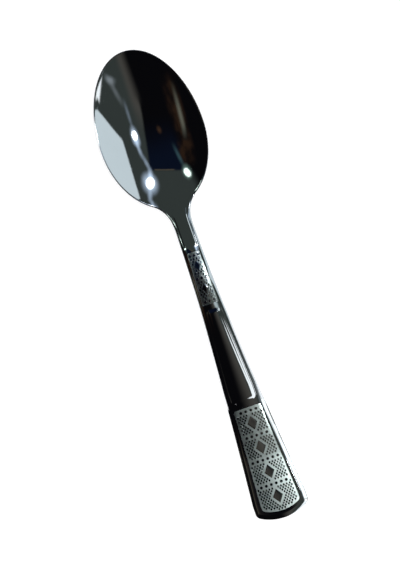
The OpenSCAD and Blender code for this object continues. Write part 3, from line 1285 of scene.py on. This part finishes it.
@dataclass(frozen=True)
class Pattern:
    """Pattern of one etched panel: rows of diamonds and dots on a fine lattice.

    Attributes:
        outline: The panel's outline.
        repeats: Repeats of a dot row and a diamond.
        repeats_share: Share of the panel that the repeats take up.
        diamond_w: Width of a diamond.
        diamond_l: Length of a diamond.
        dots_share: Place of the dots in a repeat.
        diamonds_share: Place of the diamond in a repeat.
        dot_gap: Distance between dots.
        dots_n: Dots in a row, or 0 where the panel's width gives it.
        cells: Lattice cells in a repeat's length.
        etch_d: Depth to which the field is etched.
        dot_dia: Diameter of a dot.
        line: Width of the etched lines.
        border: Width of the etched border.
        dot_margin: Least metal between a dot's row and the panel's sides.
        below: How far the islands stay below the blank's top.
        diamond_lip: Width of a diamond's sloping lip.
        dot_lip: Width of a dot's sloping lip.
        lip_fall: Fall of those lips.
        wall_h: Height of the islands' walls.
        diamond_n: Steps along a diamond's side.
        dot_n: Steps round a dot.
        cell_top: Width of a lattice island's top, as a share of its foot's.
        gap_share: Room that a lattice island leaves at each end, as a share of a line's width.
        side_share: Room that it leaves at each side, as a share of that.
        columns_n: Lattice columns on each side of the axis.
        diamond_clear: Least way of an island from a diamond, as a share of the room it takes.
        dot_clear: Least room between an island and a dot.
        dot_squash: Share of the way along the spoon that counts for that room.
        border_clear: Least room between an island's middle and the border.
    """

    outline: PanelOutline
    repeats: int
    repeats_share: float
    diamond_w: float
    diamond_l: float
    dots_share: float
    diamonds_share: float
    dot_gap: float
    dots_n: int
    cells: int
    etch_d: float = 0.12
    dot_dia: float = 0.85
    line: float = 0.21
    border: float = 0.42
    dot_margin: float = 0.6
    below: float = 0.03
    diamond_lip: float = 0.07
    dot_lip: float = 0.06
    lip_fall: float = 0.05
    wall_h: float = 0.4
    diamond_n: int = 8
    dot_n: int = 20
    cell_top: float = 0.86
    gap_share: float = 0.55
    side_share: float = 0.72
    columns_n: int = 10
    diamond_clear: float = 0.97
    dot_clear: float = 0.16
    dot_squash: float = 0.85
    border_clear: float = 0.12

    @property
    def pitch(self) -> float:
        """Length of a repeat."""
        return self.repeats_share * self.outline.length / self.repeats

    def place(self, k: int, share: float) -> float:
        """Place of a share of the repeat k."""
        return self.outline.start + (k + share) * self.pitch

    @cached_property
    def diamonds(self) -> list[float]:
        """Places of the diamonds, all on the axis."""
        return [self.place(k, self.diamonds_share) for k in range(self.repeats)]

    @cached_property
    def dots(self) -> list[Row]:
        """Centres of the dots.

        Returns:
            Distances from the axis and places.
        """
        found = []
        for k in range(self.repeats + (1 if self.dots_n else 0)):
            at = self.place(k, self.dots_share)
            room = 2 * (self.outline.hw(at) - self.dot_margin)
            n = self.dots_n or math.floor((room - self.dot_dia) / self.dot_gap) + 1
            found += [((j - (n - 1) / 2) * self.dot_gap, at) for j in range(n)]
        return found

    def called(self, what: str) -> str:
        """Name of one of the panel's pieces or nodes."""
        return f"{self.outline.panel.value}_{what}"

    def field(self) -> bpy.types.Object:
        """Builds the etched field, a plate sunk below the blank's top."""
        plate = Plate(self.outline, BLANK.recess_d, -self.etch_d, -self.etch_d)
        return plate.build(self.called("etched_field_plate"))

    def set_on_blank(self, verts: list[bmesh.types.BMVert]) -> None:
        """Moves flat islands onto the blank's top.

        Args:
            verts: Vertices at their distance from the axis, place and height, 0 or below.
        """
        for v in verts:
            z = BLANK.top_z(v.co.x, v.co.y) + v.co.z - self.below
            v.co = BLANK.point(v.co.x, v.co.y, z)

    def raise_island(
        self, bm: bmesh.types.BMesh, before: set[bmesh.types.BMVert], lip_w: float
    ) -> None:
        """Gives a flat island a sloping lip and walls, and sets it on the blank.

        Args:
            bm: The mesh, with the island's flat faces drawn last.
            before: The vertices from before them.
            lip_w: Width of the lip.
        """
        faces = [f for f in bm.faces if f.verts[0] not in before]
        bmesh.ops.inset_region(bm, faces=faces, thickness=lip_w, depth=0, use_even_offset=True)
        lip = [v for v in bm.verts if v not in before and v.is_boundary]
        bmesh.ops.translate(bm, verts=lip, vec=(0, 0, -self.lip_fall))
        rim = [e for e in bm.edges if e.is_boundary and e.verts[0] not in before]
        walls = bmesh.ops.extrude_edge_only(bm, edges=rim)["geom"]
        lower = [g for g in walls if isinstance(g, bmesh.types.BMVert)]
        bmesh.ops.translate(bm, verts=lower, vec=(0, 0, -self.wall_h))
        self.set_on_blank([v for v in bm.verts if v not in before])

    def big_diamonds(self) -> bpy.types.Object:
        """Builds the polished diamonds, each a softly edged rhomb with a crowned top.

        Returns:
            The diamonds as one object.
        """
        bm, n = bmesh.new(), self.diamond_n
        for at in self.diamonds:
            before = set(bm.verts)
            for v in bmesh.ops.create_grid(bm, x_segments=n, y_segments=n, size=0.5)["verts"]:
                across, along = v.co.x - v.co.y, v.co.x + v.co.y
                v.co = Vector((across * self.diamond_w / 2, at + along * self.diamond_l / 2, 0))
            self.raise_island(bm, before, self.diamond_lip)
        close_skin(bm)
        sharpen(bm)
        return as_object(bm, self.called("diamond_islands"))

    def round_dots(self) -> bpy.types.Object:
        """Builds the polished dots, each a low round stud.

        Returns:
            The dots as one object.
        """
        bm, n, r = bmesh.new(), self.dot_n, self.dot_dia / 2
        for x, at in self.dots:
            before = set(bm.verts)
            bmesh.ops.create_circle(bm, cap_ends=True, cap_tris=True, segments=n, radius=r)
            new = [v for v in bm.verts if v not in before]
            bmesh.ops.translate(bm, verts=new, vec=(x, at, 0))
            self.raise_island(bm, before, self.dot_lip)
        close_skin(bm)
        sharpen(bm)
        return as_object(bm, self.called("dot_studs"))

    def is_free(self, x: float, at: float, half: Row) -> bool:
        """Whether a lattice island has its room beside the diamonds, the dots and the border.

        Args:
            x: The island's distance from the axis.
            at: Its place along the spoon.
            half: Half width and half length of the island.

        Returns:
            True where nothing else stands too near.
        """
        slope = self.diamond_l / self.diamond_w
        wide = self.diamond_w / 2 + half[0] + self.line
        for place in self.diamonds:
            if abs(x) / wide + abs(at - place) / (wide * slope) < self.diamond_clear:
                return False
        near, squash = self.dot_dia / 2 + half[0] + self.dot_clear, self.dot_squash
        if any(math.hypot(x - dx, (at - place) * squash) < near for dx, place in self.dots):
            return False
        return self.outline.room(x, at) > self.border + self.border_clear

    def lattice(self) -> bpy.types.Object:
        """Builds the lattice of small polished islands, as far as the panel's border.

        Returns:
            The islands as one object.
        """
        bm = bmesh.new()
        long = self.pitch / self.cells
        wide = long * self.diamond_w / self.diamond_l
        gap = self.line * self.gap_share
        half = (wide / 2 - gap * self.side_share, long / 2 - gap)
        foot = {"segments": 4, "radius1": 1.0, "radius2": self.cell_top, "depth": self.wall_h}
        for j in range(-2 * self.cells, 2 * self.cells * (self.repeats + 1)):
            at = self.diamonds[0] + j * long / 2
            for i in range(-self.columns_n, self.columns_n + 1):
                x = (i + 0.5 * (j % 2)) * wide
                if not self.is_free(x, at, half):
                    continue
                new = bmesh.ops.create_cone(bm, cap_ends=True, **foot)["verts"]
                for v in new:
                    z = min(0.0, v.co.z - self.wall_h / 2)
                    v.co = Vector((x + v.co.x * half[0], at + v.co.y * half[1], z))
                self.set_on_blank(new)
        for f in bm.faces:
            f.smooth = False
        bmesh.ops.recalc_face_normals(bm, faces=bm.faces[:])
        return as_object(bm, self.called("lattice_islands"))


class SteelBlank:
    """The pressed blank: its zones, two of them recessed for the etched panels."""

    def build(self, finishes: Finishes) -> None:
        """Builds and dresses the zones.

        Args:
            finishes: The shared finishes.
        """
        recesses = {"upper_stem": Panel.UPPER, "handle_end": Panel.END}
        for name in OUTLINE.zones:
            zone = BlankZone(name).build()
            if name in recesses:
                Recess(PanelOutline(recesses[name])).cut(zone)
            finishes.dress(zone, Slot.POLISHED, name)


@dataclass(frozen=True)
class PlainPanel:
    """The raised plain panel in the middle of the handle.

    Attributes:
        height: Height above the blank's top.
        sunk: Depth of its foot in the blank.
        shoulder: Width of its sloping shoulders.
        side_n: Steps down its sides.
        columns_n: Steps from the axis to its border.
    """

    height: float = 0.5
    sunk: float = 0.3
    shoulder: float = 1.1
    side_n: int = 90
    columns_n: int = 26

    def build(self, finishes: Finishes) -> None:
        """Builds and dresses the panel.

        Args:
            finishes: The shared finishes.
        """
        outline = PanelOutline(Panel.PLAIN, side_n=self.side_n)
        plate = Plate(outline, self.sunk, 0.0, self.height, self.shoulder, self.columns_n)
        finishes.dress(plate.build("plain_panel_plate"), Slot.POLISHED, "plain_panel")


@dataclass(frozen=True)
class EtchedPanel:
    """One etched panel with its diamonds, dots and lattice."""

    pattern: Pattern

    def build(self, finishes: Finishes) -> None:
        """Builds and dresses the panel's pieces.

        Args:
            finishes: The shared finishes.
        """
        p = self.pattern
        finishes.dress(p.field(), Slot.ETCHED, p.called("etched_field"))
        finishes.dress(p.big_diamonds(), Slot.POLISHED, p.called("diamonds"))
        finishes.dress(p.round_dots(), Slot.POLISHED, p.called("dots"))
        finishes.dress(p.lattice(), Slot.POLISHED)


UPPER_PATTERN = Pattern(
    outline=PanelOutline(Panel.UPPER),
    repeats=2,
    repeats_share=0.88,
    diamond_w=2.0,
    diamond_l=3.4,
    dots_share=0.14,
    diamonds_share=0.6,
    dot_gap=1.25,
    dots_n=3,
    cells=5,
)
END_PATTERN = Pattern(
    outline=PanelOutline(Panel.END),
    repeats=4,
    repeats_share=0.95,
    diamond_w=3.0,
    diamond_l=4.2,
    dots_share=0.14,
    diamonds_share=0.63,
    dot_gap=1.5,
    dots_n=0,
    cells=6,
)


class CardShape(Enum):
    """How a light card fades towards its edges."""

    PANE = "pane"
    DISC = "disc"


def sky_point(across: float, along: float, radius: float) -> Vector:
    """Point on the dome over the spoon.

    Args:
        across: Degrees from the zenith towards +X.
        along: Degrees from the zenith towards +Y.
        radius: Radius of the dome in metres.

    Returns:
        The point in metres.
    """
    polar = max(math.hypot(across, along), TINY)
    level, up = radius * math.sin(math.radians(polar)), radius * math.cos(math.radians(polar))
    return Vector((across / polar * level, along / polar * level, up))


def show_in_steel_only(obj: bpy.types.Object) -> None:
    """Lets only reflections see a stage object, so that it hides and lights nothing else.

    Args:
        obj: Card or room.
    """
    for kind in ("camera", "diffuse", "transmission", "volume_scatter", "shadow"):
        setattr(obj, f"visible_{kind}", False)


def light_only(light: bpy.types.Object, ending: str) -> None:
    """Lets a light reach only some pieces.

    Args:
        light: Lamp or card.
        ending: Ending of the names of the pieces that it reaches.
    """
    pieces = bpy.data.collections.new(f"lit_by_{light.name}")
    for piece in bpy.context.scene.objects:
        if piece.name.endswith(ending):
            pieces.objects.link(piece)
    light.light_linking.receiver_collection = pieces


@dataclass(frozen=True)
class LightCard:
    """A soft light card on the dome, set by its four corners in degrees from the zenith.

    Attributes:
        name: Name of the card.
        corners: Corners in order, as degrees towards +X and +Y.
        colour: Colour of its light.
        strength: Strength of its light.
        soft: Share of its width that fades at each edge.
        shape: How it fades.
        only: Ending of the names of the pieces that show it, or nothing for all.
        steps: Steps along each side.
        near: Distance of the crispest card from the spoon, in metres.
        depth: How much further the softest card lies, in metres.
    """

    name: str
    name: str
    corners: tuple[Row, Row, Row, Row]
    colour: Point
    strength: float
    soft: float = 0.1
    shape: CardShape = CardShape.PANE
    only: str = ""
    steps: int = 12
    near: float = 2.0
    depth: float = 0.2

    def shade(self) -> bpy.types.Material:
        """Builds the card's light, which fades out at its edges.

        Returns:
            The finished material.
        """
        link = Link.material(self.name)
        uv = link.add("ShaderNodeSeparateXYZ", i0=link.add("ShaderNodeTexCoord").outputs["UV"])
        offs = [link.math("ABSOLUTE", link.math("SUBTRACT", uv.outputs[k], 0.5)) for k in (0, 1)]
        if self.shape is CardShape.DISC:
            squares = [link.product(s, s) for s in offs]
            offs = [link.math("SQRT", link.math("ADD", *squares))]
        fades = [link.span(s, 0.5 - self.soft, 0.5, 1.0, 0.0) for s in offs]
        strength = link.product(*fades, self.strength)
        light = link.add("ShaderNodeEmission", Color=self.colour, Strength=strength).outputs[0]
        clear = link.add("ShaderNodeBsdfTransparent").outputs[0]
        return link.end(link.add("ShaderNodeAddShader", i0=clear, i1=light))

    def build(self) -> None:
        """Builds the card on the dome, a softer card behind a crisper one."""
        bm, n = bmesh.new(), self.steps
        bm.loops.layers.uv.new("UVMap")
        bmesh.ops.create_grid(bm, x_segments=n, y_segments=n, size=0.5, calc_uvs=True)
        c, radius = self.corners, self.near + self.depth * self.soft
        for v in bm.verts:
            u, w = v.co.x + 0.5, v.co.y + 0.5
            low = (mix(c[0][0], c[1][0], u), mix(c[0][1], c[1][1], u))
            high = (mix(c[3][0], c[2][0], u), mix(c[3][1], c[2][1], u))
            v.co = sky_point(mix(low[0], high[0], w), mix(low[1], high[1], w), radius)
        card = as_object(bm, self.name)
        card.data.materials.append(self.shade())
        show_in_steel_only(card)
        if self.only:
            light_only(card, self.only)


WHITE = (1.0, 1.0, 1.0)
BLUE = (0.62, 0.78, 1.0)


def disc(
    name: str,
    at: Row,
    half: Row,
    tilt: float,
    colour: Point,
    strength: float,
    soft: float,
    only: str = "",
) -> LightCard:
    """Makes a round card.

    Args:
        name: Name of the card.
        at: Its middle, in degrees from the zenith towards +X and +Y.
        half: Its two half widths in degrees.
        tilt: Angle of its first half width from +X towards +Y.
        colour: Colour of its light.
        strength: Strength of its light.
        soft: Share of its width that fades.
        only: Ending of the names of the pieces that show it, or nothing for all.

    Returns:
        The card.
    """
    cos, sin = turned(1, tilt)
    corners = []
    for u, v in ((-1, -1), (1, -1), (1, 1), (-1, 1)):
        across, along = u * half[0] * cos - v * half[1] * sin, u * half[0] * sin + v * half[1] * cos
        corners.append((at[0] + across, at[1] + along))
    return LightCard(name, tuple(corners), colour, strength, soft, CardShape.DISC, only)


def pane(name: str, corners: tuple[Row, Row, Row, Row], colour: Point, power: float) -> LightCard:
    """Makes a streak that fades out from its middle."""
    return LightCard(name, corners, colour, power, 0.5)


@dataclass(frozen=True)
class DimRoom:
    """Dim room over the spoon, which only its reflections show: dark ceiling, grey walls, wood.

    Attributes:
        radius: Radius in metres.
        dark: Colour overhead.
        night: Colour of the bluish part overhead.
        wall: Colour of the walls towards +X and +Y.
        wall_warm: Colour of the wall towards -Y.
        window: Colour of the window's light.
        sunlit: Colour of the window's light towards -Y.
        wood: Colour of the brown part towards -X.
        trim: Colour of the thin pale line at the wall's edge.
        over_one: A little over 1, so that the root stays real overhead.
    """

    radius: float = 2.4
    dark: Point = (0.003, 0.003, 0.004)
    night: Point = (0.004, 0.007, 0.018)
    wall: Point = (0.043, 0.053, 0.050)
    wall_warm: Point = (0.082, 0.078, 0.070)
    window: Point = (0.76, 0.88, 0.93)
    sunlit: Point = (1.30, 1.38, 1.42)
    wood: Point = (0.028, 0.015, 0.009)
    trim: Point = (0.085, 0.075, 0.055)
    over_one: float = 1.00001

    def shade(self) -> bpy.types.Material:
        """Builds the room's dim light from places in degrees from the zenith.

        Returns:
            The finished material.
        """
        link = Link.material("dim_room")
        where = link.add("ShaderNodeTexCoord").outputs["Object"]
        way = link.add("ShaderNodeVectorMath", {"operation": "NORMALIZE"}, i0=where).outputs[0]
        east, north, up = link.add("ShaderNodeSeparateXYZ", i0=way).outputs
        polar = link.product(link.math("ARCCOSINE", up), RADIAN_DEG)
        square = link.math("SUBTRACT", self.over_one, link.math("POWER", up, 2.0))
        scale = link.math("DIVIDE", polar, link.math("SQRT", square))
        x, y, both = link.product(east, scale), link.product(north, scale), link.product

        def line(across: float, along: float, start: float, soft: float) -> Socket:
            """1 beyond a straight line over the dome, with a soft edge."""
            place = link.math("ADD", link.product(x, across), link.product(y, along))
            return link.span(place, start - soft, start + soft)

        def before(mask: Socket) -> Socket:
            """Inverse of a mask."""
            return link.math("SUBTRACT", 1.0, mask)

        # Each mask is named after what it bounds. Its numbers are degrees from the zenith.
        near = line(0, 1, -20, 6)
        crisp = both(near, line(1, 0, 2, 3.5), line(1, -0.42, 8, 2.0))
        right = link.math("ADD", crisp, both(before(near), line(1, 0, 3, 9)))
        back = both(line(0.22, 1, 37, 1.5), line(1, 0.3, -26, 8))
        night = both(line(0, 1, 8, 18), line(1, 0, -35, 10))
        ridge = link.math("ADD", x, link.product(y, -0.2))
        band = both(link.span(ridge, -66, -56), before(link.span(ridge, -44, -34)))
        length = both(before(line(0, 1, 36, 12)), line(0, 1, -26, 6))
        wood = both(band, length, link.span(link.noise(way, 4.0, 4.0), 0.35, 0.7, 0.1, 1.4))
        edge = both(line(0.22, 1, 35.6, 0.5), before(line(0.22, 1, 37, 0.5)))
        trim = both(edge, before(line(1, 0, 14, 2)), line(1, 0, -16, 3))
        warm = both(before(line(0, 1, -8, 14)), before(line(1, 0, 13, 7)))
        sill = both(line(1, 0, 65, 1.5), before(line(1, 0, 71, 1.5)))
        window = both(line(1, -0.06, 48.6, 1.0), line(0.676, 0.737, 32.4, 0.9))
        sunny = both(line(0.7, -0.714, 63.5, 1.2), before(sill))
        low = both(link.span(polar, 77, 80), line(1, 0, 18, 6))
        panes = link.tint(line(0, 1, -24, 3), self.sunlit, self.window)
        colour = link.tint(night, self.dark, self.night)
        for mask, light in (
            (wood, self.wood),
            (link.math("MAXIMUM", right, back), link.tint(warm, self.wall, self.wall_warm)),
            (trim, self.trim),
            (link.math("MAXIMUM", window, link.math("MAXIMUM", sunny, low)), panes),
        ):
            colour = link.tint(mask, colour, light)
        return link.end(link.add("ShaderNodeEmission", Color=colour, Strength=1.0))

    def build(self) -> None:
        """Builds the half dome that stands on the floor."""
        bm = bmesh.new()
        bmesh.ops.create_uvsphere(bm, u_segments=64, v_segments=32, radius=self.radius)
        half = {"plane_co": (0, 0, 0), "plane_no": (0, 0, -1), "clear_outer": True}
        bmesh.ops.bisect_plane(bm, geom=bm.verts[:] + bm.edges[:] + bm.faces[:], **half)
        dome = as_object(bm, "dim_room")
        dome.data.materials.append(self.shade())
        show_in_steel_only(dome)


@dataclass(frozen=True)
class Studio:
    """Plain pale floor, soft light, and what the steel reflects.

    Attributes:
        floor_half: Half width of the floor in metres.
        floor_below: How far the floor lies below the spoon, in metres.
        floor_colour: Colour of the floor.
        floor_glow: Share of white that the floor shows to the camera and in the steel.
        key_at: Place of the soft lamp in metres.
        key_dia: Diameter of the soft lamp in metres.
        key_power: Power of the soft lamp in watts.
        fill: Strength of the world's light on the floor.
        etch_far: Distance of the etched fields' lamps in metres.
        etch_dia: Their diameter in metres.
        etch_end_power: Power of the one beside the handle's end, in watts.
        etch_tail_power: Power of the one above the handle's end, in watts.
        etch_upper_power: Power of the one beside the neck, in watts.
        etch_colour: Their colour.
    """

    floor_half: float = 2.6
    floor_below: float = 0.00002
    floor_colour: Point = (0.86, 0.86, 0.86)
    floor_glow: float = 0.55
    key_at: Point = (0.25, 0.15, 1.2)
    key_dia: float = 0.9
    key_power: float = 6.0
    fill: float = 0.45
    etch_far: float = 1.2
    etch_dia: float = 0.08
    etch_end_power: float = 10.0
    etch_tail_power: float = 0.9
    etch_upper_power: float = 2.5
    etch_colour: Point = (0.88, 1.0, 0.98)

    def white_where_seen(self, link: Link) -> Socket:
        """Gives 1 for camera, glossy and transmission rays.

        Args:
            link: Maker of the nodes.

        Returns:
            The socket.
        """
        path = link.add("ShaderNodeLightPath").outputs
        seen = link.math("MAXIMUM", path["Is Camera Ray"], path["Is Glossy Ray"])
        return link.math("MAXIMUM", seen, path["Is Transmission Ray"])

    def floor(self) -> None:
        """Builds the floor, which keeps the spoon's shadow."""
        bm = bmesh.new()
        bmesh.ops.create_grid(bm, x_segments=1, y_segments=1, size=self.floor_half)
        bmesh.ops.translate(bm, verts=bm.verts[:], vec=(0, 0, -self.floor_below))
        floor = as_object(bm, "floor")
        link = Link.material("pale_floor")
        board = link.add("ShaderNodeBsdfDiffuse", Color=self.floor_colour)
        strength = link.product(self.white_where_seen(link), self.floor_glow)
        glow = link.add("ShaderNodeEmission", Color=WHITE, Strength=strength)
        both = link.add("ShaderNodeAddShader", i0=board.outputs[0], i1=glow.outputs[0])
        floor.data.materials.append(link.end(both))

    def world(self) -> None:
        """Sets a world that is white where it is seen and soft where it lights."""
        world = bpy.data.worlds.new("studio")
        bpy.context.scene.world = world
        link = Link(world)
        strength = link.span(self.white_where_seen(link), 0.0, 1.0, self.fill, 1.0)
        link.end(link.add("ShaderNodeBackground", Color=WHITE, Strength=strength))

    def lamp(self, name: str, at: Point, dia: float, power: float) -> bpy.types.Object:
        """Adds a round lamp that points at the middle of the spoon.

        Args:
            name: Name of the lamp.
            at: Its place in metres.
            dia: Its diameter in metres.
            power: Its power in watts.

        Returns:
            The lamp.
        """
        lamp = bpy.data.lights.new(name, "AREA")
        lamp.shape, lamp.size, lamp.energy = "DISK", dia, power
        obj = bpy.data.objects.new(name, lamp)
        obj.location = at
        obj.rotation_euler = (-obj.location).to_track_quat("-Z", "Y").to_euler()
        bpy.context.scene.collection.objects.link(obj)
        return obj

    def key(self) -> None:
        """Adds the large soft lamp that gives the shadow."""
        self.lamp("key", self.key_at, self.key_dia, self.key_power).visible_glossy = False

    def etch_lamps(self) -> None:
        """Adds the small lamps that bring out the etched fields."""
        # Degrees from the zenith towards +X and +Y, and watts.
        for name, panel, across, along, power in (
            ("end", Panel.END, 39, -34, self.etch_end_power),
            ("tail", Panel.END, 12, -2, self.etch_tail_power),
            ("upper", Panel.UPPER, 32, 10, self.etch_upper_power),
        ):
            at = sky_point(across, along, self.etch_far)
            lamp = self.lamp(f"etch_lamp_{name}", at, self.etch_dia, power)
            lamp.data.color = self.etch_colour
            light_only(lamp, f"{panel.value}_etched_field_plate")

    def cards(self) -> None:
        """Sets the room's lamps, their glow, its window and the streaks on the dome."""
        mint, sky, day, frost = (0.6, 1, 0.85), (0.8, 0.9, 1), (0.8, 0.95, 1), (0.9, 0.97, 1)
        cream, tan = (1, 0.95, 0.8), (1, 0.8, 0.68)
        rim, band, rhombs = "handle_end_steel", "stem_steel", "end_diamond_islands"
        for card in (
            disc("lamp_near", (25, -0.5), (5.4, 3.1), 0, WHITE, 20.0, 0.5),
            disc("lamp_near_glow", (25, 1), (9, 9), 0, BLUE, 1.2, 0.5),
            disc("lamp_far", (28.5, 45), (9.5, 6.6), 20, (0.95, 0.98, 1), 12.0, 0.5),
            disc("lamp_far_glow", (29, 45), (17, 15), 0, BLUE, 1.3, 0.5),
            disc("lamp_side", (-35, 47), (7, 5.4), -30, (0.85, 1, 0.92), 6.5, 0.5),
            disc("lamp_side_glow", (-35, 46), (10, 10), 0, mint, 0.35, 0.5),
            disc("rim_window", (63, -20), (16, 32), 0, frost, 0.9, 0.1, rim),
            disc("band_glow", (17, -22), (10, 7), 0, day, 0.6, 0.4, band),
            disc("end_beige", (-8, -18), (15, 28), 0, cream, 0.055, 0.2, rhombs),
            disc("end_brown", (-24, -8), (20, 12), 0, tan, 0.035, 0.4, rim),
            disc("brown_patch", (-12, 1), (5, 3), 0, (1, 0.5, 0.2), 0.05, 0.5),
            pane("beam", ((-66, -24), (-57, -26), (-44, 18), (-54, 20)), (0.9, 1, 0.8), 0.14),
            pane("streak_low", ((21, -26), (30, -26), (28, 0), (21, 0)), BLUE, 0.2),
            pane("streak_bend", ((22, -18), (31, -14), (49, -42), (38, -46)), sky, 0.12),
            pane("streak_end", ((22, -38), (34, -31), (50, -38), (44, -45)), sky, 0.25),
            pane("streak_near", ((21, -2), (30, -2), (30, 22), (21, 22)), BLUE, 0.6),
            pane("streak_mid", ((20, 12), (29, 12), (25, 38), (16, 38)), BLUE, 0.45),
            pane("streak_far", ((15, 28), (26, 28), (34, 48), (21, 48)), BLUE, 0.8),
            pane("streak_high", ((26, 46), (37, 46), (46, 68), (35, 68)), BLUE, 0.5),
            pane("streak_side", ((-30, 12), (-21, 12), (-30, 46), (-39, 46)), (0.4, 0.9, 1), 0.09),
        ):
            card.build()

    def build(self) -> None:
        """Builds the stage and its light."""
        self.floor()
        self.world()
        self.key()
        self.etch_lamps()
        self.cards()
        DimRoom().build()


@dataclass(frozen=True)
class PhotoCamera:
    """Camera straight above the spoon, turned so that the spoon lies aslant.

    Attributes:
        centre: Point on the floor under the camera, in millimetres.
        height: Height in metres.
        lens: Focal length in millimetres.
        turn_deg: Angle between the spoon and the picture's upright.
    """

    centre: Row = (-1.14, 0.267)
    height: float = 1.351
    lens: float = 300.0
    turn_deg: float = 19.3

    def build(self) -> None:
        """Adds the camera to the scene."""
        camera = bpy.data.cameras.new("camera")
        camera.lens = self.lens
        obj = bpy.data.objects.new("camera", camera)
        obj.location = (self.centre[0] * MM, self.centre[1] * MM, self.height)
        obj.rotation_euler = (0, 0, -math.radians(self.turn_deg))
        bpy.context.scene.collection.objects.link(obj)
        bpy.context.scene.camera = obj


def main() -> None:
    """Builds the spoon's pieces in order, then the studio and the camera."""
    logging.basicConfig(level=logging.INFO, format="%(name)s: %(message)s")
    bpy.context.scene.view_settings.view_transform = "Standard"
    finishes = Finishes.prepare()
    SteelBlank().build(finishes)
    PlainPanel().build(finishes)
    EtchedPanel(UPPER_PATTERN).build(finishes)
    EtchedPanel(END_PATTERN).build(finishes)
    Studio().build()
    PhotoCamera().build()


if __name__ == "__main__":
    main()
